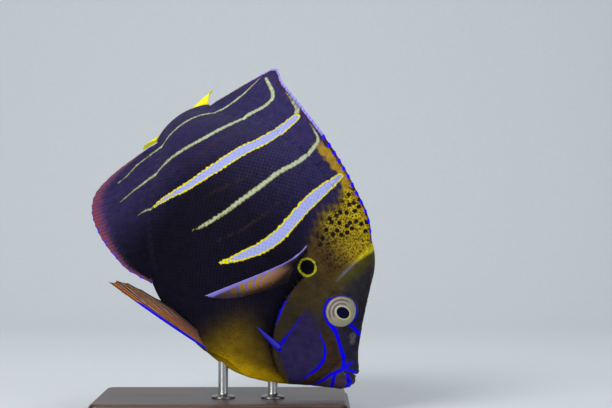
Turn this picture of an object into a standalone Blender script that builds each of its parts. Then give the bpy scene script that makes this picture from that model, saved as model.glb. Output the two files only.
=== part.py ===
"""Goldtail angelfish, a still life-size model on a display stand.

The fish is described in its own straight coordinates, in millimetres:
    s  distance behind the front of the lower jaw, along the spine
    z  height above the snout's axis
    y  distance to the fish's left of its mid plane
The spine then bends to the fish's left behind the gills, and an empty tips the whole fish nose down.
Everything is modelled at real size. The origin is on the floor, under the middle of the model.
"""
import math

import bmesh
import bpy
import numpy as np
from mathutils import Matrix, Vector

MM = 0.001
GAP = 0.3

# Pose: nose-down pitch, and the snout's place above the floor.
PITCH = math.radians(54.8)
SNOUT_AT = (64.21, -25.2, 15.6)

# Heading of the spine, in degrees to the fish's left, at distances behind the snout.
BEND_AT = (-20, 0, 40, 60, 80, 100, 122, 140, 160, 185, 205, 235)
BEND_BY = (0, 0, 0, 0.5, 5, 14, 27, 38, 51, 73, 88, 94)
SPINE_STEP = 0.5

# Body outline: heights of the back and belly, and half the thickness, along the spine.
BACK = ((0, -2.2), (1.2, -0.3), (4, 4.6), (8.6, 7.9), (13.6, 11.6), (17.6, 15.4), (23.7, 21.5),
        (32.5, 31), (41.3, 41), (48, 45.8), (57, 49.3), (68, 52), (85, 53.6), (105, 53), (125, 47.5), (145, 37), (162, 26),
        (176, 20), (192, 20.5))
BELLY = ((0, -4.8), (1, -7.0), (4.1, -10.7), (14.7, -22.7), (22.4, -32.2), (30.1, -39.8), (37.2, -45.4),
         (47.2, -50.2), (57.8, -53.2), (70, -55.8), (85, -57), (102, -55), (120, -48), (140, -36),
         (158, -23.5), (174, -15), (192, -15.5))
HALF_WIDTH = ((0, 3.0), (2, 4.4), (6, 6.0), (12, 8.2), (20, 10.6), (32, 13.4), (45, 15.6), (60, 17.4),
              (80, 17.9), (100, 17.0), (120, 15.5), (140, 13.4), (160, 10.5), (176, 7.2), (186, 5.0),
              (192, 2.4))
BODY_LENGTH = 192.0
# How pointed the sections are at the back and belly: 1 is an ellipse, 2 and more a lens.
SECTION_POWER = ((0, 1.1), (30, 1.15), (50, 1.2), (66, 1.4), (85, 1.8), (110, 2.2), (140, 2.5), (165, 2.3),
                 (180, 1.8), (192, 1.3))
RING_SIDES = 36
STALK_START = 163.0

# Rear edge of the head: the gill opening, from the nape down and forward to the throat.
GILL_EDGE = ((53, 62), (56.5, 40), (58.7, 25), (58.9, 10), (54.4, -5), (47.3, -16.2), (37.2, -24.5),
             (27, -27.5), (20.5, -27), (17, -34))
GILL_LIFT = 0.7
GILL_LIFT_REACH = 14.0

# Eye: a flattened ball let into its socket.
EYE_AT = (34.4, 15.1)
EYE_RADIUS = 8.6
EYE_DEPTH = 4.8
EYE_SUNK = 2.2

# Mouth: (s, z) at the front of each lip's roll and at the corner, half width at the corner, roll radii.
MOUTH_CORNER = (8.6, -1.2)
MOUTH_FRONT = (-2.0, 6.4)
MOUTH_HALF_WIDTH = 5.7
MOUTH_OPENING = 0.6
UPPER_LIP_FRONT = (4.8, 3.7)
LOWER_LIP_FRONT = (2.3, -1.1)
UPPER_LIP_RADIUS = 1.5
LOWER_LIP_RADIUS = 2.2
LIP_POINTS = 13

# Nostrils: two pits on each side in front of the eye, as (s, z, radius).
NOSTRILS = ((20.8, 12.6, 0.9), (18.4, 10.9, 0.7))

# Cheek spine: root and tip on the side of the head, and its height over the skin at each.
CHEEK_SPINE_ROOT = (37.6, -20.6)
CHEEK_SPINE_TIP = (52.7, -22.9)
CHEEK_SPINE_SINK = 0.2
CHEEK_SPINE_RISE = 1.7
CHEEK_SPINE_RADII = (1.7, 0.35)

# Median fins: free margin as (u, s, z), with u from the first ray to the last.
DORSAL_MARGIN = ((0, 54, 48), (0.06, 62, 52.6), (0.2, 82, 57), (0.38, 107, 59.4), (0.55, 134, 59),
                 (0.68, 156, 58.4), (0.79, 173, 58.6), (0.84, 176, 50), (0.91, 178, 38), (1, 179, 23))
ANAL_MARGIN = ((0, 101, -56), (0.1, 112, -61.5), (0.25, 127, -64.5), (0.45, 146, -65), (0.62, 163, -62),
               (0.76, 175, -54), (0.86, 180, -44), (0.94, 181, -32), (1, 179, -17))
TAIL_MARGIN = ((0, 206, 24), (0.1, 217, 26), (0.3, 220, 17), (0.5, 220.5, 2), (0.7, 220, -14),
               (0.9, 217, -25), (1, 206, -22))
DORSAL_BASE = (56.0, 176.0)
ANAL_BASE = (102.0, 175.0)
TAIL_BASE = 187.0
TAIL_BASE_MIDDLE = 3.0
TAIL_BASE_HALF_HEIGHT = 15.0
ROOT_SINK = 3.0
DORSAL_SPINES = 13
DORSAL_RAYS = 30
ANAL_SPINES = 3
ANAL_RAYS = 20
TAIL_RAYS = 17
# Where along the fin its free margin starts to trail to the right as the fish turns, and how far it trails.
DORSAL_TRAIL = (0.45, 0.4)
ANAL_TRAIL = (0.45, 1.0)
TRAIL_FULL_AT = 0.85
# How far the tail fin's margin lags to the right as it sweeps, from the upper corner to the lower.
TAIL_LAG = ((0, 4.8), (0.1, 5.5), (0.2, 5.5), (0.3, 4.9), (0.4, 3.8), (0.5, 1.2), (0.6, -0.4),
            (0.8, 0.4), (1, 1.4))

# Paired fins: roots and free margins as (u, s, z, distance out from the mid plane), and how far the rays
# bow outward between root and margin. The pectoral's rays also bend forward, down and out near the root,
# most on the leading ray.
PECTORAL_ROOT = ((0, 70.6, 20.0, 16.2), (1, 67.4, 11.4, 16.6))
PECTORAL_MARGIN = ((0, 77.8, -34.6, 33), (0.25, 73.8, -30, 39), (0.5, 69, -21.4, 42),
                   (0.75, 64.8, -9, 39), (1, 62, 2.5, 32))
PECTORAL_BOW = 4.5
PECTORAL_BEND = (-3.6, -2.5, 7.0)
PECTORAL_RAYS = 12
PELVIC_ROOT = ((0, 57, -51.6, 2.6), (1, 64, -48.5, 4.4))
PELVIC_MARGIN = ((0, 111, -72.5, 11), (0.1, 110.3, -70.6, 10.8), (0.3, 107.5, -66.5, 10.5),
                 (0.6, 99, -60.8, 10), (1, 84, -53.6, 9))
PELVIC_BOW = 0.6
PELVIC_RAYS = 6

# Fin thickness at the root and at the free margin, on a ray and on the membrane between rays.
MEDIAN_RAY = (1.8, 0.9)
MEDIAN_MEMBRANE = (1.0, 0.55)
PAIRED_RAY = (0.9, 0.7)
PAIRED_MEMBRANE = (0.6, 0.5)
FIN_ROWS = 6
PECTORAL_ROWS = 9
SPINE_NOTCH = 0.035
RAY_NOTCH = 0.008

# Stand: a flat rounded base and two short rods under the breast.
BASE_SIZE = (130.0, 90.0, 8.0)
BASE_AT = (-4.0, -12.8)
BASE_EDGE = 2.0
ROD_RADIUS = 2.5
ROD_FOOT_RADIUS = 6.0
ROD_FOOT_HEIGHT = 1.6
ROD_FRONT_BEHIND_SNOUT = 42.0
ROD_REAR_BEHIND_SNOUT = 67.0
ROD_FRONT_HEIGHT = 12.0
ROD_REAR_HEIGHT = 24.0

OBJECT_NAME = "goldtail_angelfish"


def clear_scene():
    """Remove every object of the open file."""
    for obj in list(bpy.data.objects):
        bpy.data.objects.remove(obj, do_unlink=True)


def make_collection(name):
    """A new collection in the scene."""
    collection = bpy.data.collections.new(name)
    bpy.context.scene.collection.children.link(collection)
    return collection


def make_material(name, colour, roughness, metallic=0.0):
    """A Principled material of one colour."""
    material = bpy.data.materials.new(name)
    material.use_nodes = True
    shader = material.node_tree.nodes["Principled BSDF"]
    shader.inputs["Base Color"].default_value = (*colour, 1.0)
    shader.inputs["Roughness"].default_value = roughness
    shader.inputs["Metallic"].default_value = metallic
    material.diffuse_color = (*colour, 1.0)
    return material


def smooth_through(knots, values, at):
    """Cubic curve through the knots, with slopes from their neighbours."""
    knots = np.asarray(knots, float)
    values = np.asarray(values, float)
    at = np.asarray(at, float)
    slopes = np.gradient(values, knots)
    i = np.clip(np.searchsorted(knots, at) - 1, 0, len(knots) - 2)
    width = knots[i + 1] - knots[i]
    t = np.clip((at - knots[i]) / width, 0, 1)
    rise = (2 * t**3 - 3 * t**2 + 1) * values[i] + (3 * t**2 - 2 * t**3) * values[i + 1]
    turn = (t**3 - 2 * t**2 + t) * slopes[i] + (t**3 - t**2) * slopes[i + 1]
    return rise + width * turn


def read_profile(profile, at, column=1):
    """One column of a table of points, read smoothly at a distance along it."""
    table = np.array(profile, float)
    return smooth_through(table[:, 0], table[:, column], at)


def smooth_step(t):
    """0 to 1, level at both ends."""
    t = np.clip(t, 0, 1)
    return t * t * (3 - 2 * t)


class Spine:
    """The bent mid line, which carries straight coordinates into the fish's own space."""

    def __init__(self):
        self.s = np.arange(BEND_AT[0], BEND_AT[-1] + SPINE_STEP, SPINE_STEP)
        self.heading = np.radians(smooth_through(BEND_AT, BEND_BY, self.s))
        step_x = -np.cos(self.heading) * SPINE_STEP
        step_y = np.sin(self.heading) * SPINE_STEP
        x = np.cumsum(step_x) - step_x / 2
        y = np.cumsum(step_y) - step_y / 2
        self.x = x - np.interp(0, self.s, x)
        self.y = y - np.interp(0, self.s, y)

    def place(self, s, z, y):
        """A point in metres in the fish's space, from its straight coordinates in millimetres."""
        heading = float(np.interp(s, self.s, self.heading))
        x_at = float(np.interp(s, self.s, self.x)) + y * math.sin(heading)
        y_at = float(np.interp(s, self.s, self.y)) + y * math.cos(heading)
        return Vector((x_at, y_at, z)) * MM


SPINE = Spine()


def section(s):
    """Middle height, half height and half width of the body at a distance behind the snout."""
    top = float(read_profile(BACK, s))
    bottom = float(read_profile(BELLY, s))
    return (top + bottom) / 2, (top - bottom) / 2, float(read_profile(HALF_WIDTH, s))


def skin_point(s, angle, lift=0.0):
    """A point of the skin, by its angle round the section from the back, in the fish's space."""
    middle, half_height, half_width = section(s)
    turn = math.sin(angle)
    power = float(read_profile(SECTION_POWER, s))
    y = (half_width + lift) * math.copysign(abs(turn) ** power, turn)
    return SPINE.place(s, middle + half_height * math.cos(angle), y)


def skin_angle(s, z, side):
    """The angle round the section at which the skin has the height z, on side +1 (left) or -1."""
    middle, half_height, _ = section(s)
    return side * math.acos(max(-1.0, min(1.0, (z - middle) / half_height)))


def skin_frame(s, z, side, lift=0.0):
    """Point and outward direction of the skin at the height z."""
    angle = skin_angle(s, z, side)
    point = skin_point(s, angle, lift)
    along = skin_point(s + 0.5, angle, lift) - skin_point(s - 0.5, angle, lift)
    around = skin_point(s, angle + 0.02, lift) - skin_point(s, angle - 0.02, lift)
    normal = along.cross(around).normalized()
    if normal.y * side < 0:
        normal = -normal
    return point, normal


def gill_curve(count=36):
    """Points of the gill edge, evenly along its length."""
    knots = np.array(GILL_EDGE, float)
    steps = np.hypot(*np.diff(knots, axis=0).T)
    length = np.concatenate([[0], np.cumsum(steps)])
    at = np.linspace(0, length[-1], count)
    columns = [smooth_through(length, knots[:, k], at) for k in (0, 1)]
    return np.stack(columns, axis=1)


def gill_lift(s, z, angle, curve):
    """How far the gill cover stands out at a point of the head."""
    distance = float(np.hypot(curve[:, 0] - s, curve[:, 1] - z).min())
    flank = smooth_step(abs(math.sin(angle)) * 1.6 - 0.2)
    return GILL_LIFT * float(smooth_step(1 - distance / GILL_LIFT_REACH) * flank)


def link_mesh(name, bm, collection, parent=None, material=None):
    """An object made from a bmesh."""
    mesh = bpy.data.meshes.new(name)
    bm.to_mesh(mesh)
    bm.free()
    obj = bpy.data.objects.new(name, mesh)
    collection.objects.link(obj)
    obj.parent = parent
    if material:
        mesh.materials.append(material)
    return obj


def as_cutter(obj):
    """Show a guide as a wire and keep it out of the render."""
    obj.display_type = "WIRE"
    obj.hide_render = True
    return obj


def loft(name, stations, collection, parent, lift_head=False, swell=0.0):
    """The body's skin between the first and last station, closed by flat ends and made of triangles."""
    curve = gill_curve()
    bm = bmesh.new()
    rings = []
    for s in stations:
        middle, half_height, _ = section(s)
        ring = []
        for i in range(RING_SIDES):
            angle = 2 * math.pi * i / RING_SIDES
            z = middle + half_height * math.cos(angle)
            lift = gill_lift(s, z, angle, curve) if lift_head else 0.0
            ring.append(bm.verts.new(skin_point(s, angle, lift)))
        rings.append(ring)
    for near, far in zip(rings, rings[1:]):
        for i in range(RING_SIDES):
            j = (i + 1) % RING_SIDES
            bm.faces.new((near[i], near[j], far[j], far[i]))
    bm.faces.new(rings[0])
    bm.faces.new(rings[-1])
    bmesh.ops.triangulate(bm, faces=bm.faces[:])
    bmesh.ops.recalc_face_normals(bm, faces=bm.faces[:])
    if swell:
        bm.normal_update()
        for vert in bm.verts:
            vert.co += vert.normal * swell * MM
    return link_mesh(name, bm, collection, parent)


def gill_block(name, offset, collection, parent):
    """A block round the head that ends behind at the gill edge, moved back by the offset."""
    curve = gill_curve()
    along = np.gradient(curve, axis=0)
    along /= np.hypot(along[:, :1], along[:, 1:])
    outward = np.stack([-along[:, 1], along[:, 0]], axis=1)
    edge = curve + outward * offset
    outline = list(edge) + [(-15.0, edge[-1][1]), (-15.0, edge[0][1])]
    bm = bmesh.new()
    near = [bm.verts.new(Vector((-s, -40.0, z)) * MM) for s, z in outline]
    face = bm.faces.new(near)
    grown = bmesh.ops.extrude_face_region(bm, geom=[face])
    moved = [item for item in grown["geom"] if isinstance(item, bmesh.types.BMVert)]
    bmesh.ops.translate(bm, verts=moved, vec=Vector((0, 80.0, 0)) * MM)
    bmesh.ops.triangulate(bm, faces=bm.faces[:])
    bmesh.ops.recalc_face_normals(bm, faces=bm.faces[:])
    return as_cutter(link_mesh(name, bm, collection, parent))


def ellipsoid(name, centre, axis, radius, depth, collection, parent, segments=24, rings=14):
    """A ball flattened along its axis."""
    bm = bmesh.new()
    bmesh.ops.create_uvsphere(bm, u_segments=segments, v_segments=rings, radius=1.0)
    turn = axis.to_track_quat("Z", "Y").to_matrix().to_4x4()
    size = Matrix.Diagonal((radius * MM, radius * MM, depth * MM, 1.0))
    bmesh.ops.transform(bm, matrix=Matrix.Translation(centre) @ turn @ size, verts=bm.verts[:])
    return link_mesh(name, bm, collection, parent)


def boolean(obj, other, operation, solver="EXACT"):
    """Join another closed mesh to an object, cut it away or keep what they share."""
    step = obj.modifiers.new(operation.lower(), "BOOLEAN")
    step.operation = operation
    step.solver = solver
    step.object = other


def settle(obj):
    """Apply an object's modifiers and keep only its largest closed surface."""
    bpy.context.view_layer.update()
    graph = bpy.context.evaluated_depsgraph_get()
    mesh = bpy.data.meshes.new_from_object(obj.evaluated_get(graph))
    obj.modifiers.clear()
    obj.data = mesh
    bm = bmesh.new()
    bm.from_mesh(mesh)
    bm.faces.ensure_lookup_table()
    seen = set()
    pieces = []
    for start in bm.faces:
        if start in seen:
            continue
        piece = []
        queue = [start]
        seen.add(start)
        while queue:
            face = queue.pop()
            piece.append(face)
            for edge in face.edges:
                for other in edge.link_faces:
                    if other not in seen:
                        seen.add(other)
                        queue.append(other)
        pieces.append(piece)
    pieces.sort(key=piece_size, reverse=True)
    scraps = [face for piece in pieces[1:] for face in piece]
    if scraps:
        bmesh.ops.delete(bm, geom=scraps, context="FACES")
    bmesh.ops.recalc_face_normals(bm, faces=bm.faces[:])
    bm.to_mesh(mesh)
    bm.free()
    return obj


def piece_size(faces):
    """Area of a closed surface's faces, to tell the body from a scrap."""
    return sum(face.calc_area() for face in faces)


def lip(name, front, corner, radius, collection, parent):
    """A roll from one corner of the mouth round the front to the other, as a closed mesh."""
    curve = bpy.data.curves.new(name, "CURVE")
    curve.dimensions = "3D"
    curve.bevel_depth = radius * MM
    curve.bevel_resolution = 2
    curve.use_fill_caps = True
    spline = curve.splines.new("POLY")
    spline.points.add(LIP_POINTS - 1)
    for i, point in enumerate(spline.points):
        turn = math.radians(-90 + 180 * i / (LIP_POINTS - 1))
        back = 1 - math.cos(turn)
        s = front[0] + (corner[0] - front[0]) * back
        z = front[1] + (corner[1] - front[1]) * back
        place = SPINE.place(s, z, MOUTH_HALF_WIDTH * math.sin(turn))
        point.co = (*place, 1.0)
        point.radius = 0.55 + 0.45 * math.cos(turn)
    rail = bpy.data.objects.new(name, curve)
    collection.objects.link(rail)
    bpy.context.view_layer.update()
    graph = bpy.context.evaluated_depsgraph_get()
    mesh = bpy.data.meshes.new_from_object(rail.evaluated_get(graph))
    bpy.data.objects.remove(rail, do_unlink=True)
    bm = bmesh.new()
    bm.from_mesh(mesh)
    bmesh.ops.remove_doubles(bm, verts=bm.verts[:], dist=0.00001)
    bmesh.ops.recalc_face_normals(bm, faces=bm.faces[:])
    return link_mesh(name, bm, collection, parent)


def mouth_slit(collection, parent):
    """A thin wedge between the lips, as deep as the corner of the mouth."""
    corner = Vector((-MOUTH_CORNER[0], 0, MOUTH_CORNER[1]))
    front = Vector((-MOUTH_FRONT[0], 0, MOUTH_FRONT[1]))
    run = front - corner
    bm = bmesh.new()
    bmesh.ops.create_cube(bm, size=1.0)
    turn = run.normalized().to_track_quat("X", "Z").to_matrix().to_4x4()
    size = Matrix.Diagonal((run.length * MM, 40 * MM, MOUTH_OPENING * MM, 1.0))
    place = Matrix.Translation((corner + front) / 2 * MM)
    bmesh.ops.transform(bm, matrix=place @ turn @ size, verts=bm.verts[:])
    return as_cutter(link_mesh("mouth_slit", bm, collection, parent))


def make_head(parts, cutters, parent, material):
    """The head, with lips, mouth, nostrils, eye sockets and raised gill covers."""
    stations = list(np.linspace(0, 14, 11)) + list(np.linspace(16.5, 64, 20))
    head = loft("head", stations, parts, parent, lift_head=True)
    head.data.materials.append(material)
    boolean(head, gill_block("head_block", 0.0, cutters, parent), "INTERSECT")
    corner_up = (MOUTH_CORNER[0], MOUTH_CORNER[1] + 0.8)
    corner_down = (MOUTH_CORNER[0], MOUTH_CORNER[1] - 0.8)
    rolls = [lip("upper_lip", UPPER_LIP_FRONT, corner_up, UPPER_LIP_RADIUS, cutters, parent),
             lip("lower_lip", LOWER_LIP_FRONT, corner_down, LOWER_LIP_RADIUS, cutters, parent)]
    for roll in rolls:
        boolean(head, roll, "UNION")
    boolean(head, mouth_slit(cutters, parent), "DIFFERENCE")
    socket_size = (EYE_RADIUS + GAP, EYE_DEPTH + GAP)
    for side in (-1, 1):
        point, normal = skin_frame(*EYE_AT, side)
        centre = point - normal * EYE_SUNK * MM
        socket = ellipsoid(f"socket_{side}", centre, normal, *socket_size, cutters, parent)
        boolean(head, as_cutter(socket), "DIFFERENCE")
        for s, z, radius in NOSTRILS:
            point, normal = skin_frame(s, z, side)
            pit = ellipsoid(f"nostril_{side}_{s}", point, normal, radius, radius, cutters, parent, 10, 6)
            boolean(head, as_cutter(pit), "DIFFERENCE")
    settle(head)
    for roll in rolls:
        bpy.data.objects.remove(roll, do_unlink=True)
    return head


def make_trunk(parts, cutters, parent, material):
    """The trunk, from the gill edge to the tail stalk."""
    stations = list(np.linspace(14, 62, 17)) + list(np.linspace(66, STALK_START - GAP / 2, 24))
    trunk = loft("trunk", stations, parts, parent)
    trunk.data.materials.append(material)
    boolean(trunk, gill_block("trunk_block", GAP, cutters, parent), "DIFFERENCE")
    return settle(trunk)


def make_tail_stalk(parts, parent, material):
    """The narrow stalk that carries the tail fin."""
    stations = list(np.linspace(STALK_START + GAP / 2, 186, 8)) + [189, 191, BODY_LENGTH]
    stalk = loft("tail_stalk", stations, parts, parent)
    stalk.data.materials.append(material)
    return stalk


def fin_thickness(u, v, rays, ray, membrane):
    """Thickness of a fin: ridges on the rays, thinner towards the free margin."""
    on_ray = abs(math.cos(math.pi * u * (rays - 1)))
    thick = ray[0] + (ray[1] - ray[0]) * v
    thin = membrane[0] + (membrane[1] - membrane[0]) * v
    return thin + (thick - thin) * on_ray


def fin_sheet(name, rays, place, ray, membrane, rows, collection, parent, material):
    """A fin: a sheet with a ray at every second column, thickened to both sides."""
    columns = 2 * (rays - 1)
    bm = bmesh.new()
    bmesh.ops.create_grid(bm, x_segments=columns, y_segments=rows, size=1.0)
    shares = []
    bm.verts.ensure_lookup_table()
    for vert in bm.verts:
        u = (vert.co.x + 1) / 2
        v = (vert.co.y + 1) / 2
        shares.append(fin_thickness(u, v, rays, ray, membrane) / ray[0])
        vert.co = place(u, v)
    bmesh.ops.triangulate(bm, faces=bm.faces[:])
    fin = link_mesh(name, bm, collection, parent, material)
    group = fin.vertex_groups.new(name="thickness")
    for index, share in enumerate(shares):
        group.add([index], share, "REPLACE")
    sheet = fin.modifiers.new("thickness", "SOLIDIFY")
    sheet.thickness = ray[0] * MM
    sheet.offset = 0.0
    sheet.vertex_group = group.name
    return settle(fin)


def margin_notch(u, rays, spines):
    """How far the membrane's edge falls back between two rays, as a share of the fin's height."""
    between = abs(math.sin(math.pi * u * (rays - 1)))
    spiny = u * (rays - 1) < spines - 1
    return between * (SPINE_NOTCH if spiny else RAY_NOTCH)


def median_fin_place(margin, base, outline, sink, trail, rays, spines):
    """Placing function of a fin on the back or belly."""
    def place(u, v):
        root_s = base[0] + (base[1] - base[0]) * u
        root_z = float(read_profile(outline, root_s)) + sink
        reach = v * (1 - margin_notch(u, rays, spines))
        s = root_s + (float(read_profile(margin, u)) - root_s) * reach
        z = root_z + (float(read_profile(margin, u, 2)) - root_z) * reach
        start, amount = trail
        along = np.clip((u - start) / (TRAIL_FULL_AT - start), 0, 1) ** 1.5
        return SPINE.place(s, z, float(-amount * along * v ** 1.5))
    return place


def tail_fin_place(u, v):
    """Placing function of the tail fin."""
    root_z = TAIL_BASE_MIDDLE + TAIL_BASE_HALF_HEIGHT * (1 - 2 * u)
    reach = v * (1 - margin_notch(u, TAIL_RAYS, 0))
    s = TAIL_BASE + (float(read_profile(TAIL_MARGIN, u)) - TAIL_BASE) * reach
    z = root_z + (float(read_profile(TAIL_MARGIN, u, 2)) - root_z) * reach
    return SPINE.place(s, z, -float(read_profile(TAIL_LAG, u)) * reach ** 1.3)


def paired_fin_place(root, margin, bow, side, rays, bend=(0.0, 0.0, 0.0)):
    """Placing function of a fin on one side of the fish."""
    def place(u, v):
        reach = v * (1 - margin_notch(u, rays, 0))
        start = [float(np.interp(u, [row[0] for row in root], [row[k] for row in root])) for k in (1, 2, 3)]
        end = [float(read_profile(margin, u, k)) for k in (1, 2, 3)]
        s, z, out = (a + (b - a) * reach for a, b in zip(start, end))
        sag = (1 - reach) * (1 - math.exp(-reach / 0.12)) * (1 - u)
        out += bow * 4 * reach * (1 - reach) + bend[2] * sag
        return SPINE.place(s + bend[0] * sag, z + bend[1] * sag, side * out)
    return place


def make_fins(parts, parent, body_guide, materials):
    """All fins, each cut to the skin that it grows from."""
    dorsal = median_fin_place(DORSAL_MARGIN, DORSAL_BASE, BACK, -ROOT_SINK, DORSAL_TRAIL, DORSAL_RAYS,
                              DORSAL_SPINES)
    anal = median_fin_place(ANAL_MARGIN, ANAL_BASE, BELLY, ROOT_SINK, ANAL_TRAIL, ANAL_RAYS, ANAL_SPINES)
    median = (MEDIAN_RAY, MEDIAN_MEMBRANE, FIN_ROWS)
    paired = (PAIRED_RAY, PAIRED_MEMBRANE)
    plan = [("dorsal_fin", DORSAL_RAYS, dorsal, *median, "dark"),
            ("anal_fin", ANAL_RAYS, anal, *median, "dark"),
            ("tail_fin", TAIL_RAYS, tail_fin_place, *median, "yellow")]
    for side, label in ((-1, "right"), (1, "left")):
        pectoral = paired_fin_place(PECTORAL_ROOT, PECTORAL_MARGIN, PECTORAL_BOW, side, PECTORAL_RAYS,
                                    PECTORAL_BEND)
        pelvic = paired_fin_place(PELVIC_ROOT, PELVIC_MARGIN, PELVIC_BOW, side, PELVIC_RAYS)
        plan += [(f"pectoral_fin_{label}", PECTORAL_RAYS, pectoral, *paired, PECTORAL_ROWS, "violet"),
                 (f"pelvic_fin_{label}", PELVIC_RAYS, pelvic, *paired, FIN_ROWS, "brown")]
    for name, rays, place, ray, membrane, rows, colour in plan:
        fin = fin_sheet(name, rays, place, ray, membrane, rows, parts, parent, materials[colour])
        boolean(fin, body_guide, "DIFFERENCE", "MANIFOLD")
        settle(fin)


def make_eyes(parts, parent, material):
    """Both eyes."""
    for side, label in ((-1, "right"), (1, "left")):
        point, normal = skin_frame(*EYE_AT, side)
        centre = point - normal * EYE_SUNK * MM
        eye = ellipsoid(f"eye_{label}", centre, normal, EYE_RADIUS, EYE_DEPTH, parts, parent)
        eye.data.materials.append(material)
        eye.data.shade_smooth()


def make_cheek_spines(parts, parent, body_guide, material):
    """The spine at the lower corner of each cheek, lying back over the gill opening."""
    for side, label in ((-1, "right"), (1, "left")):
        root, normal = skin_frame(*CHEEK_SPINE_ROOT, side, GILL_LIFT)
        tip, _ = skin_frame(*CHEEK_SPINE_TIP, side, GILL_LIFT)
        root = root - normal * CHEEK_SPINE_SINK * MM
        tip = tip + normal * CHEEK_SPINE_RISE * MM
        run = tip - root
        bm = bmesh.new()
        bmesh.ops.create_cone(bm, cap_ends=True, segments=12, radius1=CHEEK_SPINE_RADII[0] * MM,
                              radius2=CHEEK_SPINE_RADII[1] * MM, depth=run.length)
        turn = run.to_track_quat("Z", "Y").to_matrix().to_4x4()
        bmesh.ops.transform(bm, matrix=Matrix.Translation((root + tip) / 2) @ turn, verts=bm.verts[:])
        spine = link_mesh(f"cheek_spine_{label}", bm, parts, parent, material)
        boolean(spine, body_guide, "DIFFERENCE")
        settle(spine)


def make_base(parts, material):
    """The stand's flat base with softened edges."""
    bm = bmesh.new()
    bmesh.ops.create_cube(bm, size=1.0)
    size = Vector(BASE_SIZE) * MM
    bmesh.ops.transform(bm, matrix=Matrix.Diagonal((*size, 1.0)), verts=bm.verts[:])
    base = link_mesh("stand_base", bm, parts, None, material)
    base.location = (BASE_AT[0] * MM, BASE_AT[1] * MM, BASE_SIZE[2] * MM / 2)
    edge = base.modifiers.new("edge", "BEVEL")
    edge.width = BASE_EDGE * MM
    edge.segments = 3


def make_rod(name, behind_snout, height, parts, body_guide, material):
    """A rod on a round foot, turned about its axis and cut to the breast that it carries."""
    outline = ((0, height), (ROD_RADIUS, height), (ROD_RADIUS, ROD_FOOT_HEIGHT + 0.8),
               (ROD_RADIUS + 0.8, ROD_FOOT_HEIGHT), (ROD_FOOT_RADIUS, ROD_FOOT_HEIGHT - 0.4),
               (ROD_FOOT_RADIUS, 0), (0, 0))
    bm = bmesh.new()
    verts = [bm.verts.new((r * MM, 0, h * MM)) for r, h in outline]
    for near, far in zip(verts, verts[1:]):
        bm.edges.new((near, far))
    rod = link_mesh(name, bm, parts, None, material)
    rod.location = Vector((SNOUT_AT[0] - behind_snout, SNOUT_AT[1], BASE_SIZE[2] + GAP)) * MM
    turn = rod.modifiers.new("turn", "SCREW")
    turn.steps = 24
    turn.render_steps = 24
    turn.use_merge_vertices = True
    turn.merge_threshold = 0.00001
    boolean(rod, body_guide, "DIFFERENCE")
    settle(rod)


def main():
    """Build every node of the model."""
    clear_scene()
    parts = make_collection(OBJECT_NAME)
    cutters = make_collection("cutters")
    materials = {
        "dark": make_material("dark_skin", (0.035, 0.03, 0.05), 0.45),
        "face": make_material("face_skin", (0.12, 0.09, 0.07), 0.45),
        "yellow": make_material("tail_yellow", (0.85, 0.65, 0.03), 0.4),
        "violet": make_material("pectoral_violet", (0.25, 0.16, 0.42), 0.4),
        "brown": make_material("pelvic_brown", (0.22, 0.1, 0.05), 0.4),
        "eye": make_material("eye", (0.6, 0.58, 0.4), 0.08),
        "blue": make_material("spine_blue", (0.03, 0.04, 0.75), 0.35),
        "wood": make_material("stained_wood", (0.06, 0.035, 0.02), 0.4),
        "steel": make_material("brushed_steel", (0.6, 0.6, 0.6), 0.3, 1.0),
    }
    pose = bpy.data.objects.new("fish_pose", None)
    parts.objects.link(pose)
    pose.location = Vector(SNOUT_AT) * MM
    pose.rotation_euler = (0, PITCH, 0)
    stations = list(np.linspace(0, 14, 11)) + list(np.linspace(16.5, 64, 20))
    stations += list(np.linspace(68, 186, 30)) + [189, 191, BODY_LENGTH]
    body_guide = as_cutter(loft("body_guide", stations, cutters, pose, lift_head=True, swell=GAP))
    make_head(parts, cutters, pose, materials["face"])
    make_trunk(parts, cutters, pose, materials["dark"])
    make_tail_stalk(parts, pose, materials["dark"])
    make_eyes(parts, pose, materials["eye"])
    make_fins(parts, pose, body_guide, materials)
    make_cheek_spines(parts, pose, body_guide, materials["blue"])
    make_base(parts, materials["wood"])
    rods = (("stand_rod_front", ROD_FRONT_BEHIND_SNOUT, ROD_FRONT_HEIGHT),
            ("stand_rod_rear", ROD_REAR_BEHIND_SNOUT, ROD_REAR_HEIGHT))
    for name, behind_snout, height in rods:
        make_rod(name, behind_snout, height, parts, body_guide, materials["steel"])


main()
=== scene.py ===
"""The looks of the goldtail angelfish, a still life-size model on a display stand.

The fish is drawn in its own straight coordinates, in millimetres, as the solids are:
    s  distance behind the front of the lower jaw, along the spine
    z  height above the snout's axis
    y  distance to the fish's left of its mid plane
One class bends and tips these coordinates into the frame, so that the skin, the scales, the fins and the
markings on them all agree. Markings are distances from drawn lines, kept on each vertex, and the
materials turn them into colour.
"""
from __future__ import annotations

import logging
import math
from dataclasses import dataclass, field
from enum import Enum
from typing import Any, Iterable, Sequence

import bmesh
import bpy
import numpy as np
from mathutils import Matrix, Vector


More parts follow.
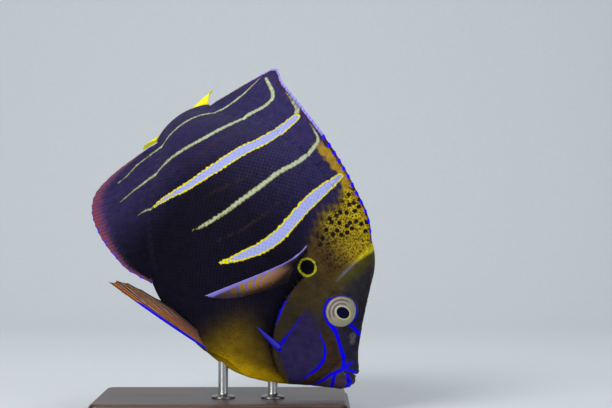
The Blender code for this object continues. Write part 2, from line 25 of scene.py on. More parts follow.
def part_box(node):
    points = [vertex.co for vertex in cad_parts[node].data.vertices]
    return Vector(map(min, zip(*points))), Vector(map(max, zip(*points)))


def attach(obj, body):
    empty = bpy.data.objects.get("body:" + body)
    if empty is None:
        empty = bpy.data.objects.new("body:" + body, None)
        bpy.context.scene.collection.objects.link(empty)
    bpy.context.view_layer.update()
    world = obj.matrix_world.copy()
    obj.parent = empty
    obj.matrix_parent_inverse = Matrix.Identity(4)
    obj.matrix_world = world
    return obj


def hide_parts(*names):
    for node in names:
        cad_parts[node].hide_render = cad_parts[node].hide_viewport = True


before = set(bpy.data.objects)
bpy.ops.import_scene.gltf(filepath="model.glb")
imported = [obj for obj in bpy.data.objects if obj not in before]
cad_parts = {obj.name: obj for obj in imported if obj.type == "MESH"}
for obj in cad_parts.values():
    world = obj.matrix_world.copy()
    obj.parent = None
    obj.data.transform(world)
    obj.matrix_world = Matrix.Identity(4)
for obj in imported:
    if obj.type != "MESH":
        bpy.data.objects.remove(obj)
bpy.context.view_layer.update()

LOG = logging.getLogger("goldtail_angelfish")
MM = 0.001
BODY = "root"

Array = np.ndarray
Curve = tuple[tuple[float, ...], ...]
Tree = bpy.types.NodeTree
Socket = bpy.types.NodeSocket
Mesh = bpy.types.Mesh
Material = bpy.types.Material
Piece = bpy.types.Object


class Side(Enum):
    """The fish's own sides, with the sign of y on each."""

    RIGHT = -1
    LEFT = 1

    @property
    def label(self) -> str:
        """The side's name in piece names."""
        return self.name.lower()


def eased(t: Array) -> Array:
    """0 to 1, level at both ends."""
    t = np.clip(t, 0.0, 1.0)
    return t * t * (3.0 - 2.0 * t)


def rise(value: Array, start: float, end: float) -> Array:
    """How far a value has come from start to end, eased."""
    return eased((np.asarray(value, float) - start) / (end - start))


def hump(value: Array, at: Array | float, width: Array | float) -> Array:
    """1 at a place and next to nothing two widths away from it."""
    return np.exp(-((value - at) / width) ** 2)


def smooth_through(knots: Sequence[float], values: Sequence[float], at: Array) -> Array:
    """Cubic curve through the knots, with slopes from their neighbours.

    Args:
        knots: rising places of the given values.
        values: the values there.
        at: the places to read.

    Returns:
        The curve's values at the places.
    """
    knots = np.asarray(knots, float)
    values = np.asarray(values, float)
    at = np.asarray(at, float)
    slopes = np.gradient(values, knots)
    i = np.clip(np.searchsorted(knots, at) - 1, 0, len(knots) - 2)
    width = knots[i + 1] - knots[i]
    t = np.clip((at - knots[i]) / width, 0, 1)
    level = (2 * t**3 - 3 * t**2 + 1) * values[i] + (3 * t**2 - 2 * t**3) * values[i + 1]
    turn = (t**3 - 2 * t**2 + t) * slopes[i] + (t**3 - t**2) * slopes[i + 1]
    return level + width * turn


def read(profile: Curve, at: Array, column: int = 1) -> Array:
    """One column of a table of points, read smoothly along its first column."""
    table = np.array(profile, float)
    return smooth_through(table[:, 0], table[:, column], at)


def fine_line(points: Curve, count: int = 48) -> Array:
    """A smooth line through the points, in evenly spaced steps.

    Args:
        points: (s, z) places.
        count: how many points to return.

    Returns:
        Array of count rows.
    """
    knots = np.array(points, float)
    steps = np.hypot(*np.diff(knots, axis=0).T)
    length = np.concatenate([[0.0], np.cumsum(steps)])
    at = np.linspace(0.0, length[-1], count)
    return np.stack([smooth_through(length, knots[:, k], at) for k in (0, 1)], axis=1)


def line_reach(line: Array, s: Array, z: Array) -> tuple[Array, Array, Array]:
    """Nearest distance to a line of short steps.

    Args:
        line: rows of (s, z).
        s: places of the points.
        z: heights of the points.

    Returns:
        Distance, share of the way along, and the sign of the side (+1 to the line's left).
    """
    best = np.full(len(s), np.inf)
    along = np.zeros(len(s))
    turn = np.ones(len(s))
    for i, (start, end) in enumerate(zip(line, line[1:])):
        run = end - start
        t = np.clip(((s - start[0]) * run[0] + (z - start[1]) * run[1]) / (run @ run), 0, 1)
        off_s = s - start[0] - run[0] * t
        off_z = z - start[1] - run[1] * t
        distance = np.hypot(off_s, off_z)
        nearer = distance < best
        best = np.where(nearer, distance, best)
        along = np.where(nearer, (i + t) / (len(line) - 1), along)
        turn = np.where(nearer, np.sign(run[0] * off_z - run[1] * off_s), turn)
    return best, along, turn


def past_line(path: Curve, s: Array, z: Array) -> Array:
    """Distances from a drawn line, positive on its left and negative on its right."""
    off, _, turn = line_reach(fine_line(path), s, z)
    return off * turn


# Form of the fish.

BEND_AT = (-20, 0, 40, 60, 80, 100, 122, 140, 160, 185, 205, 235)
BEND_BY = (0, 0, 0, 0.5, 5, 14, 27, 38, 51, 73, 88, 94)
BACK: Curve = ((0, -2.2), (1.2, -0.3), (4, 4.6), (8.6, 7.9), (13.6, 11.6), (17.6, 15.4), (23.7, 21.5),
                (32.5, 31), (41.3, 41), (48, 45.8), (57, 49.3), (68, 52), (85, 53.6), (105, 53), (125, 47.5),
                (145, 37), (162, 26), (176, 20), (192, 20.5))
BELLY: Curve = ((0, -4.8), (1, -7.0), (4.1, -10.7), (14.7, -22.7), (22.4, -32.2), (30.1, -39.8),
                 (37.2, -45.4), (47.2, -50.2), (57.8, -53.2), (70, -55.8), (85, -57), (102, -55),
                 (120, -48), (140, -36), (158, -23.5), (174, -15), (192, -15.5))
HALF_WIDTH: Curve = ((0, 3.0), (2, 4.4), (6, 6.0), (12, 8.2), (20, 10.6), (32, 13.4), (45, 15.6), (60, 17.4),
                      (80, 17.9), (100, 17.0), (120, 15.5), (140, 13.4), (160, 10.5), (176, 7.2), (186, 5.0),
                      (192, 2.4))
SECTION_POWER: Curve = ((0, 1.1), (30, 1.15), (50, 1.2), (66, 1.4), (85, 1.8), (110, 2.2), (140, 2.5),
                         (165, 2.3), (180, 1.8), (192, 1.3))
GILL_EDGE: Curve = ((53, 62), (56.5, 40), (58.7, 25), (58.9, 10), (54.4, -5), (47.3, -16.2),
                     (37.2, -24.5), (27, -27.5), (20.5, -27), (17, -34))
CHEEK_EDGE: Curve = ((45.5, 6), (43.8, -2.6), (41.2, -11.1), (38.1, -19.4), (33.5, -22.6), (27, -24.5))
SNOUT_EDGE: Curve = ((36, 17), (30.4, 8.6), (22.7, 5.5), (16.8, 3.9), (11.5, -0.7), (7, 2.4), (0, 7))
EYE_AT = (34.4, 15.1)
NOSTRILS = ((20.8, 12.6, 0.8), (18.4, 10.9, 0.6))


def from_place(at: tuple[float, float], s: Array, z: Array) -> Array:
    """Distances from one place on the side."""
    return np.hypot(s - at[0], z - at[1])


@dataclass
class FishForm:
    """The bent, tipped body that every piece is set on.

    Attributes:
        gill_groove, cheek_groove, eye_rim, nostril_rim: height of a groove or rim, its distance from the edge
            that it follows and its width.
    """

    pitch: float = math.radians(54.8)
    snout_at: tuple[float, float, float] = (64.21, -25.2, 15.6)
    length: float = 192.0
    spine_step: float = 0.25
    arc_step: float = 0.5
    arc_reach: float = 75.0
    gill_lift: float = 0.8
    gill_reach: float = 14.0
    gill_groove: tuple[float, float, float] = (-0.5, 0.7, 0.8)
    cheek_lift: float = 0.35
    cheek_reach: float = 6.0
    cheek_groove: tuple[float, float, float] = (-0.3, 0.5, 0.6)
    eye_rim: tuple[float, float, float] = (0.4, 8.9, 1.3)
    nostril_rim: tuple[float, float, float] = (0.3, 0.4, 0.5)
    fin_root_at: tuple[float, float] = (68.6, 15.8)
    fin_root_lift: float = 0.7
    fin_root_reach: float = 6.5
    wave_height: float = 0.08
    spine_s: Array = field(init=False)
    heading: Array = field(init=False)
    spine_x: Array = field(init=False)
    spine_y: Array = field(init=False)

    def __post_init__(self) -> None:
        """Work out the spine and the table of lengths round the body."""
        self.spine_s = np.arange(BEND_AT[0], BEND_AT[-1] + self.spine_step, self.spine_step)
        self.heading = np.radians(smooth_through(BEND_AT, BEND_BY, self.spine_s))
        step_x = -np.cos(self.heading) * self.spine_step
        step_y = np.sin(self.heading) * self.spine_step
        x = np.cumsum(step_x) - step_x / 2
        y = np.cumsum(step_y) - step_y / 2
        self.spine_x = x - np.interp(0, self.spine_s, x)
        self.spine_y = y - np.interp(0, self.spine_s, y)
        self._measure_arcs()

    def _measure_arcs(self) -> None:
        """Tabulate, for each station, the angle at each length up or down from the middle of the side."""
        self.arc_s = np.arange(0.0, self.length + 0.5, 1.0)
        self.arc_at = np.arange(-self.arc_reach, self.arc_reach + self.arc_step, self.arc_step)
        angles = np.linspace(0.02, math.pi - 0.02, 400)
        rows = []
        limits = []
        for s in self.arc_s:
            z, y = self.outline(np.full(len(angles), s), angles)
            run = np.concatenate([[0.0], np.cumsum(np.hypot(np.diff(z), np.diff(y)))])
            run = np.interp(math.pi / 2, angles, run) - run
            rows.append(np.interp(self.arc_at, run[::-1], angles[::-1]))
            limits.append((run[-1], run[0]))
        self.arc_angle = np.array(rows)
        self.arc_limit = np.array(limits)

    def outline(self, s: Array, angle: Array) -> tuple[Array, Array]:
        """Where the plain skin lies at angles round its sections.

        Args:
            s: distances behind the snout.
            angle: angles from the back towards the fish's left.

        Returns:
            Heights and side distances.
        """
        top = read(BACK, s)
        bottom = read(BELLY, s)
        turn = np.sin(angle)
        y = read(HALF_WIDTH, s) * np.sign(turn) * np.abs(turn) ** read(SECTION_POWER, s)
        return (top + bottom) / 2 + (top - bottom) / 2 * np.cos(angle), y

    def half_at(self, s: Array, depth: float) -> Array:
        """Half the body's thickness at a depth below its back or above its belly."""
        share = np.clip(1 - depth / ((read(BACK, s) - read(BELLY, s)) / 2), 0, 1)
        return read(HALF_WIDTH, s) * (1 - share**2) ** (read(SECTION_POWER, s) / 2)

    def angle_at(self, s: Array, arc: Array) -> Array:
        """The angles on the fish's left at lengths round its skin.

        Args:
            s: distances behind the snout.
            arc: lengths up or down from the middle of the side.

        Returns:
            Angles from the back.
        """
        i = np.clip(s, 0, self.length - 1.001)
        row = i.astype(int)
        part = i - row
        j = np.clip((arc - self.arc_at[0]) / self.arc_step, 0, len(self.arc_at) - 1.001)
        column = j.astype(int)
        share = j - column
        table = self.arc_angle
        near = table[row, column] * (1 - share) + table[row, column + 1] * share
        far = table[row + 1, column] * (1 - share) + table[row + 1, column + 1] * share
        return near * (1 - part) + far * part

    def skin(self, s: Array, angle: Array) -> tuple[Array, Array]:
        """Points of the plain skin and its outward directions, in straight coordinates.

        Args:
            s: distances behind the snout.
            angle: angles round the section, from the back towards the fish's left.

        Returns:
            Rows of (s, z, y) and rows of unit directions in the same order.
        """
        z, y = self.outline(s, angle)
        point = np.stack([s, z, y], axis=1)
        ahead = np.stack([s + 0.4, *self.outline(s + 0.4, angle)], axis=1)
        behind = np.stack([s - 0.4, *self.outline(s - 0.4, angle)], axis=1)
        up = np.stack([s, *self.outline(s, angle - 0.01)], axis=1)
        down = np.stack([s, *self.outline(s, angle + 0.01)], axis=1)
        normal = np.cross(ahead - behind, down - up)
        normal /= np.maximum(np.linalg.norm(normal, axis=1, keepdims=True), 1e-9)
        outward = np.stack([np.zeros(len(s)), z - (read(BACK, s) + read(BELLY, s)) / 2, y * 4], axis=1)
        flip = np.sign(np.einsum("ij,ij->i", normal, outward))
        return point, normal * np.where(flip == 0, 1, flip)[:, None]

    def place(self, s: Array, z: Array, y: Array) -> Array:
        """Bend and tip points into the frame.

        Args:
            s, z: places on the side, in millimetres.
            y: distances to the fish's left.

        Returns:
            Rows of x, y, z in metres.
        """
        heading = np.interp(s, self.spine_s, self.heading)
        x = np.interp(s, self.spine_s, self.spine_x) + y * np.sin(heading)
        across = np.interp(s, self.spine_s, self.spine_y) + y * np.cos(heading)
        cos, sin = math.cos(self.pitch), math.sin(self.pitch)
        point = np.stack([x * cos + z * sin, across, z * cos - x * sin], axis=1)
        return (point + np.array(self.snout_at)) * MM

    def _off_spine(self, s: Array, x: Array, across: Array) -> tuple[Array, Array]:
        """How far points lie from the spine's stations.

        Args:
            s: the stations.
            x, across: the points, with the fish level.

        Returns:
            Distances behind the stations and to the fish's left of them.
        """
        heading = np.interp(s, self.spine_s, self.heading)
        off_x = x - np.interp(s, self.spine_s, self.spine_x)
        off_y = across - np.interp(s, self.spine_s, self.spine_y)
        behind = off_y * np.sin(heading) - off_x * np.cos(heading)
        return behind, off_x * np.sin(heading) + off_y * np.cos(heading)

    def straight(self, points: Array) -> Array:
        """Undo place, by stepping along the spine to each point's station.

        Args:
            points: rows of x, y, z in metres.

        Returns:
            Rows of (s, z, y).
        """
        tipped = points / MM - np.array(self.snout_at)
        cos, sin = math.cos(self.pitch), math.sin(self.pitch)
        x = tipped[:, 0] * cos - tipped[:, 2] * sin
        z = tipped[:, 0] * sin + tipped[:, 2] * cos
        s = np.clip(-x, -10, 200)
        for _ in range(14):
            s = np.clip(s + self._off_spine(s, x, tipped[:, 1])[0], BEND_AT[0], BEND_AT[-1] - 1)
        return np.stack([s, z, self._off_spine(s, x, tipped[:, 1])[1]], axis=1)

    def relief(self, s: Array, z: Array, flank: Array) -> Array:
        """How far the skin stands out over the plain form: gill cover, cheek, rims and soft waves.

        Args:
            s, z: places on the side, in millimetres.
            flank: 0 on the back and belly ridges to 1 on the side.

        Returns:
            Millimetres outward.
        """
        behind = past_line(GILL_EDGE, s, z)
        cover = self.gill_lift * eased(1 - np.abs(behind) / self.gill_reach) * rise(-behind, -0.45, 0.35)
        depth, at, width = self.gill_groove
        lift = (cover + depth * hump(behind, at, width)) * rise(z, 30, 14) * eased(flank * 1.6 - 0.2)
        off, along, turn = line_reach(fine_line(CHEEK_EDGE), s, z)
        step = self.cheek_lift * eased(1 - off / self.cheek_reach) * rise(off * -turn, -0.3, 0.3)
        depth, at, width = self.cheek_groove
        step += depth * hump(off * turn, at, width)
        lift = lift + step * rise(along, 0.0, 0.25) * rise(along, 1.0, 0.75) * flank
        height, at, width = self.eye_rim
        lift = lift + height * hump(from_place(EYE_AT, s, z), at, width) * rise(flank, 0.1, 0.5)
        height, at, width = self.nostril_rim
        for at_s, at_z, radius in NOSTRILS:
            lift = lift + height * hump(from_place((at_s, at_z), s, z), radius + at, width) * flank
        swell = np.hypot((s - self.fin_root_at[0]) / 1.3, z - self.fin_root_at[1])
        lift = lift + self.fin_root_lift * eased(1 - swell / self.fin_root_reach) * rise(s, 60, 62)
        wave = np.sin(s * 0.23 + 1.1) * np.sin(z * 0.19 + 0.4) + 0.6 * np.sin(s * 0.41 + z * 0.13)
        return lift + self.wave_height * wave * flank


FISH = FishForm()


# Markings: lines drawn in (s, z), with half widths along them.


@dataclass(frozen=True)
class Stroke:
    """A drawn line of the fish's pattern.

    Attributes:
        path: (s, z) places, in order.
        half: half widths at evenly spaced shares of the way along.
    """

    path: Curve
    half: tuple[float, ...]

    def depth(self, s: Array, z: Array, fringe: float = 3.0) -> Array:
        """How deep inside the stroke points are.

        Args:
            s, z: places on the side, in millimetres.
            fringe: how far outside the stroke distances are told.

        Returns:
            Depths, negative outside and -fringe far off.
        """
        line = fine_line(self.path)
        result = np.full(len(s), -fringe)
        reach = max(self.half) + fringe
        low, high = line.min(0) - reach, line.max(0) + reach
        near = (s > low[0]) & (s < high[0]) & (z > low[1]) & (z < high[1])
        if near.any():
            off, along, _ = line_reach(line, s[near], z[near])
            half = np.interp(along, np.linspace(0, 1, len(self.half)), self.half)
            result[near] = np.maximum(half - off, -fringe)
        return result


def deepest(strokes: Iterable[Stroke], s: Array, z: Array) -> Array:
    """The greatest depth of points inside any of the strokes."""
    return np.max([stroke.depth(s, z) for stroke in strokes], axis=0)


BROAD_BARS = (
    Stroke(((89.5, 53.6), (88, 43.5), (86, 32.1), (83.3, 21), (81.2, 10.8), (81, 3), (82.3, -5),
            (84.1, -12.4), (86.4, -19.8)), (0.9, 1.9, 2.3, 2.2, 2.2, 2.2, 1.9, 1.15, 0.0)),
    Stroke(((130, 53), (128.1, 42.2), (125.7, 33.2), (124.9, 19.4), (124.1, 7.6), (124.5, -4.7),
            (125.7, -13.8), (128.9, -22.6), (133.3, -33)), (1.5, 2.2, 2.2, 2.2, 2.0, 1.8, 1.4, 0.9, 0.3)),
)
NARROW_BARS = (
    Stroke(((123.5, 57.1), (117.4, 56.6), (112.1, 55.4), (109.3, 50.5), (107.7, 46.7), (106.1, 38.5),
            (106.1, 30.2), (104.9, 20.9), (104.1, 11.3), (103.7, 2.2), (103.7, -7.3), (104.9, -16.7),
            (107.3, -26.1)), (-0.2, 0.55, 0.9, 0.95, 0.9, 0.9, 0.9, 0.8, 0.75, 0.65, -0.2)),
    Stroke(((148.3, 56.4), (140.8, 56.8), (134.7, 56.2), (129, 51.6)), (0, 0.9, 1.1, 1.3)),
    Stroke(((133.3, -33), (136.1, -37.9), (136.8, -43.1)), (0.5, 0.4, -0.2)),
    Stroke(((168.5, 52.5), (162.6, 52), (157.5, 51.5), (149.6, 48.6), (148.4, 41.2), (149, 34.4),
            (148, 30.2), (146.4, 26.8), (144.5, 20), (142.9, 8.5), (144.5, -3.2), (148, -14.2), (152.6, -26),
            (153.2, -36.9), (152.4, -46.9)), (0.6, 0.9, 0.95, 0.9, 0.85, 0.75, 0.7, 0.55, 0.1)),
    Stroke(((172.4, 49.9), (169.2, 42.1), (166.6, 32.6), (165, 22), (164, 12), (163.2, 1), (166, -10),
            (170.4, -20), (171, -29), (167.6, -38), (166.8, -42.9)),
           (0.1, 0.6, 0.65, 0.6, 0.6, 0.5, 0.45, 0.1)),
)
FAINT_LINES = (
    Stroke(((138.1, 30), (136.9, 15.9), (135.7, -3.9), (140.5, -16.3), (145.3, -25.6)),
           (0.1, 0.45, 0.45, 0.1)),
    Stroke(((112.9, 21.8), (112.5, 11.4), (113.7, 0.6), (115.3, -10)), (0.1, 0.45, 0.45, 0.1)),
    Stroke(((94.5, 26), (92.9, 11.8), (92.9, -1.9), (95.3, -16.1)), (0.1, 0.4, 0.4, 0.1)),
)
BLUE_LINES = (
    Stroke(((33.1, 6.7), (28.8, 7), (24.2, 5.9), (19.2, 4.1), (15.2, 2.9), (11.5, 0.4), (10.2, -0.8)),
           (1.1, 1.1, 0.85, 0.8, 0.95, 1.1, 1.0)),
    Stroke(((27, 14), (25.5, 14.7), (22.2, 15.5), (18, 15.6)), (0.6, 0.85, 0.85, 0.6)),
    Stroke(((9.9, 4.4), (10.4, 2), (10.2, -0.6), (11.4, -7.2), (11.4, -14.1), (12.4, -19.5)),
           (0.6, 0.85, 0.9, 0.8, 0.7, 0.5, 0.1)),
    Stroke(((8.6, 0.4), (6.2, 2.3), (4, 3)), (0.6, 0.75, 0.6)),
    Stroke(((6.8, -0.8), (4.4, -1.7), (2.3, -2.4), (1.2, -5)), (0.6, 1.1, 1.4, 1.0)),
    Stroke(((10.3, -5.4), (9, -7.6), (6.8, -9.8), (5, -11.6)), (0.6, 0.85, 0.85, 0.7)),
    Stroke(((31.8, 1.0), (30.4, -0.4), (25.9, -1.4), (20.4, -5), (17.8, -11), (17.5, -17.9), (17.2, -21.2)),
           (0.1, 0.35, 0.6, 0.7, 0.7, 0.55, 0.2)),
    Stroke(((45, 1.6), (43.8, -2.6), (41.2, -11.1), (38.1, -19.4)), (0.1, 0.5, 0.65, 0.8)),
    Stroke(((55.9, 0), (54.7, -4.1), (51.7, -9.7), (48, -14.8)), (0.1, 0.4, 0.5, 0.3)),
    Stroke(((40, -20.2), (37.6, -20.6), (36.2, -21.2)), (1.1, 1.4, 0.8)),
)
NAPE_YELLOW = Stroke(((51.4, 48.5), (50.7, 43), (50.4, 37.5), (49.9, 31)), (1.8, 1.1, 0.4, -0.6))
NAPE_GREY = Stroke(((50.4, 40), (50, 36), (49.4, 29.3), (47.7, 20.8)), (-0.3, 0.45, 0.5, -0.2))
EAR_SPOT_AT = (61.8, 13.9)
EAR_SPOT_RADIUS = 4.65
EYE_RING = 8.2
EYE_RING_BROAD = 1.0
EYE_RING_GAP = 0.5
CHEEK_LINE = BLUE_LINES[6].path


def srgb(code: str) -> Array:
    """Linear colour of an sRGB hex value."""
    values = np.array([int(code[i:i + 2], 16) for i in (1, 3, 5)]) / 255
    return np.where(values <= 0.04045, values / 12.92, ((values + 0.055) / 1.055) ** 2.4)


def rgba(code: str) -> tuple[float, float, float, float]:
    """The same, with full alpha, for a socket."""
    return (*srgb(code), 1.0)


def lay(ground: Array, code: str, mask: Array) -> Array:
    """Colours with another laid over them as strongly as the mask says."""
    return ground + (srgb(code) - ground) * np.clip(mask, 0, 1)[:, None]


@dataclass(frozen=True)
class Zone:
    """A ground colour of the skin and where it lies.

    Attributes:
        code: the colour.
        limits: names of measures, each with its values where the colour begins and where it is full.
        strength: share of the colour where it is full.
    """

    code: str
    limits: tuple[tuple[str, float, float], ...]
    strength: float = 1.0

    def mask(self, measures: dict[str, Array]) -> Array:
        """How strongly the colour lies on points with these measures."""
        return self.strength * np.prod([rise(measures[name], *ends) for name, *ends in self.limits], axis=0)


NAPE = (("over_nape_edge", -1.5, 3.5), ("z", 8, 20))
BREAST = (("s", 66, 50), ("z", -18, -42))
HEAD = (("behind_gill", 0.2, -0.4), ("z", 17, 9))
BROW = (("s", 51.2, 49.6), ("z", 6, 14))
ZONES = {
    # painted sheen: violet laid over the black flank, growing stronger towards the top and the upper rear,
    # where light from above falls
    "painted violet sheen of the upper flank": Zone("#332c5c", (("slant", -8, 72),), 0.85),
    "painted violet sheen of the upper rear": Zone("#2f2850", (("s", 116, 156), ("z", 45, 0)), 0.85),
    "faint lines": Zone("#382818", (("faint_line", -0.5, 0.4),), 0.45),
    "tail stalk": Zone("#f0d00a", (("s", 185, 188), ("off_stalk", 26, 17))),
    "nape's brown edge": Zone("#4a3917", NAPE),
    "olive nape": Zone("#a38c18", (*NAPE, ("z", 25, 41), ("over_nape_edge", 0, 7))),
    "gold crest": Zone("#d3b90c", (*NAPE, ("below_back", 7, 1)), 0.8),
    "dorsal fin's base": Zone("#a8861a", (("over_back", -1.6, -0.4), ("over_back", 4.4, 3.4), ("s", 113, 106),
                                          ("s", 51, 54)), 0.9),
    "round the breast": Zone("#2e240a", (("s", 73, 57), ("z", -14, -34))),
    "breast": Zone("#6a5504", BREAST),
    "gold belly": Zone("#cca804", (*BREAST, ("over_belly", 13, 1), ("s", 58, 34))),
    # painted shade: near-black laid on the skin just behind the gill cover's edge, where the gill opening
    # lies in shade
    "gill slit": Zone("#050508", (("behind_gill", 7, 0.5), ("z", -36, -16), ("z", 14, 4),
                                  ("behind_gill", -0.4, 0.2))),
    "gill cover": Zone("#383022", HEAD),
    "brow": Zone("#44381c", (*BROW, ("z", 34, 20))),
    "olive forehead": Zone("#4d461a", (*BROW, ("z", 17, 28))),
    "dark forehead": Zone("#2e2c2e", (*BROW, ("over_eye", -8, 5), ("s", 48.5, 40.5))),
    "behind the eye": Zone("#44381c", (*HEAD, ("s", 40, 46), ("z", -8, 4)), 0.8),
    "cheek": Zone("#2f2850", (*HEAD, ("behind_cheek", 0.6, -0.4), ("z", 6, -3), ("s", 47, 44))),
    "eye band": Zone("#3a2c1e", (("behind_cheek_line", 0.4, -0.4), ("s", 34, 30), ("z", 12, 8))),
    "snout": Zone("#292536", (("behind_snout_edge", 0.4, -0.4), ("s", 31, 27), ("z", -1.5, 0))),
    "jaw": Zone("#4a3a46", (("s", 13.5, 10.8), ("z", 0.5, -1.5))),
    "nape's grey line": Zone("#6c6c86", (("nape_grey", -0.6, 0.4),), 0.8),
    "nape's yellow line": Zone("#d8c916", (("nape_yellow", -1.0, 0.9),), 0.9),
}


@dataclass(frozen=True)
class Coloration:
    """The fish's ground colours, laid in order from the black of the flank to the lines of the nape.

    Attributes:
        nape_edge: a place on the nape's slanting edge and the edge's run.
    """

    flank: str = "#0e0c16"
    nostril_rim: str = "#6a6268"
    rim_strength: float = 0.7
    rim_width: float = 1.5
    nape_edge: tuple[float, float, float, float] = (60, 15, 24, 35)
    nape_edge_length: float = 42.4
    stalk_height: float = 3.0

    def over_nape_edge(self, s: Array, z: Array) -> Array:
        """Distances above the straight edge that slants up from the gill opening to the dorsal fin."""
        at_s, at_z, run_s, run_z = self.nape_edge
        return ((z - at_z) * run_s - (s - at_s) * run_z) / self.nape_edge_length

    def measures(self, s: Array, z: Array) -> dict[str, Array]:
        """What the zones are told by: places and distances from drawn edges.

        Args:
            s, z: places on the side, in millimetres.

        Returns:
            Millimetres, by name.
        """
        on_body = np.clip(s, 0, FISH.length)
        back = read(BACK, on_body)
        ragged = 0.8 * np.sin(s * 1.3 + z * 0.9) + 0.8 * np.sin(z * 1.9 - s * 0.7)
        return {
            "s": s,
            "z": z,
            "slant": z + 0.3 * (s - 110),
            "off_stalk": np.abs(z - self.stalk_height),
            "over_nape_edge": self.over_nape_edge(s, z) + ragged + 6 * rise(z, 46, 33),
            "over_back": z - back + 0.6 * ragged,
            "below_back": back - z,
            "over_belly": z - read(BELLY, on_body),
            "over_eye": (z - EYE_AT[1]) - 0.9 * (s - EYE_AT[0]),
            "behind_gill": past_line(GILL_EDGE, s, z),
            "behind_cheek": past_line(CHEEK_EDGE, s, z),
            "behind_cheek_line": past_line(CHEEK_LINE, s, z),
            "behind_snout_edge": past_line(SNOUT_EDGE, s, z),
            "faint_line": deepest(FAINT_LINES, s, z),
            "nape_grey": NAPE_GREY.depth(s, z),
            "nape_yellow": NAPE_YELLOW.depth(s, z),
        }

    def ground(self, s: Array, z: Array) -> Array:
        """Ground colour of the skin, before the drawn lines.

        Args:
            s, z: places on the side, in millimetres.

        Returns:
            Rows of linear red, green and blue.
        """
        measures = self.measures(s, z)
        colour = np.tile(srgb(self.flank), (len(s), 1))
        for zone in ZONES.values():
            colour = lay(colour, zone.code, zone.mask(measures))
        for at_s, at_z, radius in NOSTRILS:
            rim = rise(from_place((at_s, at_z), s, z), radius + self.rim_width, radius)
            colour = lay(colour, self.nostril_rim, self.rim_strength * rim)
        return colour

    def specks(self, s: Array, z: Array) -> Array:
        """Where the nape's dark specks lie, 0 to 1."""
        above = self.over_nape_edge(s, z) + 5 * rise(z, 46, 33)
        return rise(above, 0, 4) * rise(s, 51, 53) * rise(z, 17, 25)


COLORATION = Coloration()


def build_mesh(name: str, points: Array, faces: Sequence[Array]) -> Mesh:
    """A mesh from arrays.

    Args:
        name: the mesh's name.
        points: rows of x, y, z in metres.
        faces: arrays of corner numbers, one array for each count of corners.

    Returns:
        The mesh, smooth shaded.
    """
    mesh = bpy.data.meshes.new(name)
    mesh.vertices.add(len(points))
    mesh.vertices.foreach_set("co", np.ascontiguousarray(points, np.float32).ravel())
    corners = np.concatenate([array.ravel() for array in faces]).astype(np.int32)
    counts = np.concatenate([np.full(len(array), array.shape[1]) for array in faces])
    starts = np.concatenate([[0], np.cumsum(counts)[:-1]]).astype(np.int32)
    mesh.loops.add(len(corners))
    mesh.loops.foreach_set("vertex_index", corners)
    mesh.polygons.add(len(counts))
    mesh.polygons.foreach_set("loop_start", starts)
    mesh.update(calc_edges=True)
    mesh.validate()
    mesh.shade_smooth()
    return mesh


def mesh_points(mesh: Mesh) -> Array:
    """Where a mesh's vertices are.

    Args:
        mesh: the mesh.

    Returns:
        Rows of x, y, z in metres.
    """
    points = np.empty(len(mesh.vertices) * 3, np.float32)
    mesh.vertices.foreach_get("co", points)
    return points.reshape(-1, 3).astype(float)


def add_object(name: str, mesh: Mesh, material: Material | None = None) -> Piece:
    """Put a mesh into the scene.

    Args:
        name: the object's name.
        mesh: its mesh.
        material: its material, if it already has one.

    Returns:
        The object.
    """
    obj = bpy.data.objects.new(name, mesh)
    bpy.context.scene.collection.objects.link(obj)
    if material:
        mesh.materials.append(material)
    return obj


def hand_over(obj: Piece, slot: str, nodes: Sequence[str] = ()) -> None:
    """Set a finished piece on the model.

    Args:
        obj: the piece.
        slot: the record's slot that its finish belongs to.
        nodes: the solids that it stands for.
    """
    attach(obj, BODY)
    if nodes:
        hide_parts(*nodes)
    stands_for = ", ".join(nodes) or "no node"
    LOG.info("%s: %d faces, slot %s, for %s", obj.name, len(obj.data.polygons), slot, stands_for)


def write_floats(mesh: Mesh, name: str, values: Array) -> None:
    """Keep one number on each vertex."""
    layer = mesh.attributes.new(name, "FLOAT", "POINT")
    layer.data.foreach_set("value", np.ascontiguousarray(values, np.float32))


def eye_ring(s: Array, z: Array) -> Array:
    """The blue ring round the eye, which reaches out furthest below and behind, and least below in front.

    Args:
        s: distances behind the snout.
        z: heights.

    Returns:
        How deep inside the ring points lie.
    """
    around = np.arctan2(z - EYE_AT[1], s - EYE_AT[0])
    broad = rise(np.cos(around + math.radians(55)), 0.4, 0.75)
    gap = rise(np.cos(around + math.radians(150)), 0.8, 0.94)
    return EYE_RING + EYE_RING_BROAD * broad - EYE_RING_GAP * gap - from_place(EYE_AT, s, z)


def write_markings(mesh: Mesh, straight: Array, painted: Array | None = None) -> None:
    """Keep on each vertex what the skin's materials read.

    Args:
        mesh: the piece.
        straight: rows of (s, z, y) of its vertices.
        painted: rows of the places whose pattern they show, if not their own.
    """
    shown = straight if painted is None else painted
    s, z = shown[:, 0], shown[:, 1]
    layer = mesh.attributes.new("straight_mm", "FLOAT_VECTOR", "POINT")
    layer.data.foreach_set("vector", np.ascontiguousarray(straight, np.float32).ravel())
    layer = mesh.attributes.new("ground_colour", "FLOAT_COLOR", "POINT")
    colour = np.concatenate([COLORATION.ground(s, z), np.ones((len(s), 1))], axis=1)
    layer.data.foreach_set("color", np.ascontiguousarray(colour, np.float32).ravel())
    write_floats(mesh, "broad_bar", deepest(BROAD_BARS, s, z))
    write_floats(mesh, "narrow_bar", deepest(NARROW_BARS, s, z))
    write_floats(mesh, "blue_line", np.maximum(deepest(BLUE_LINES, s, z), eye_ring(s, z)))
    write_floats(mesh, "ear_spot", EAR_SPOT_RADIUS - from_place(EAR_SPOT_AT, s, z))
    specks = COLORATION.specks(s, z)
    write_floats(mesh, "nape_specks", specks)
    write_floats(mesh, "nape_spots", specks * rise(s + 0.35 * (z - 38), 60, 63) * rise(s, 84, 80))


# Materials.


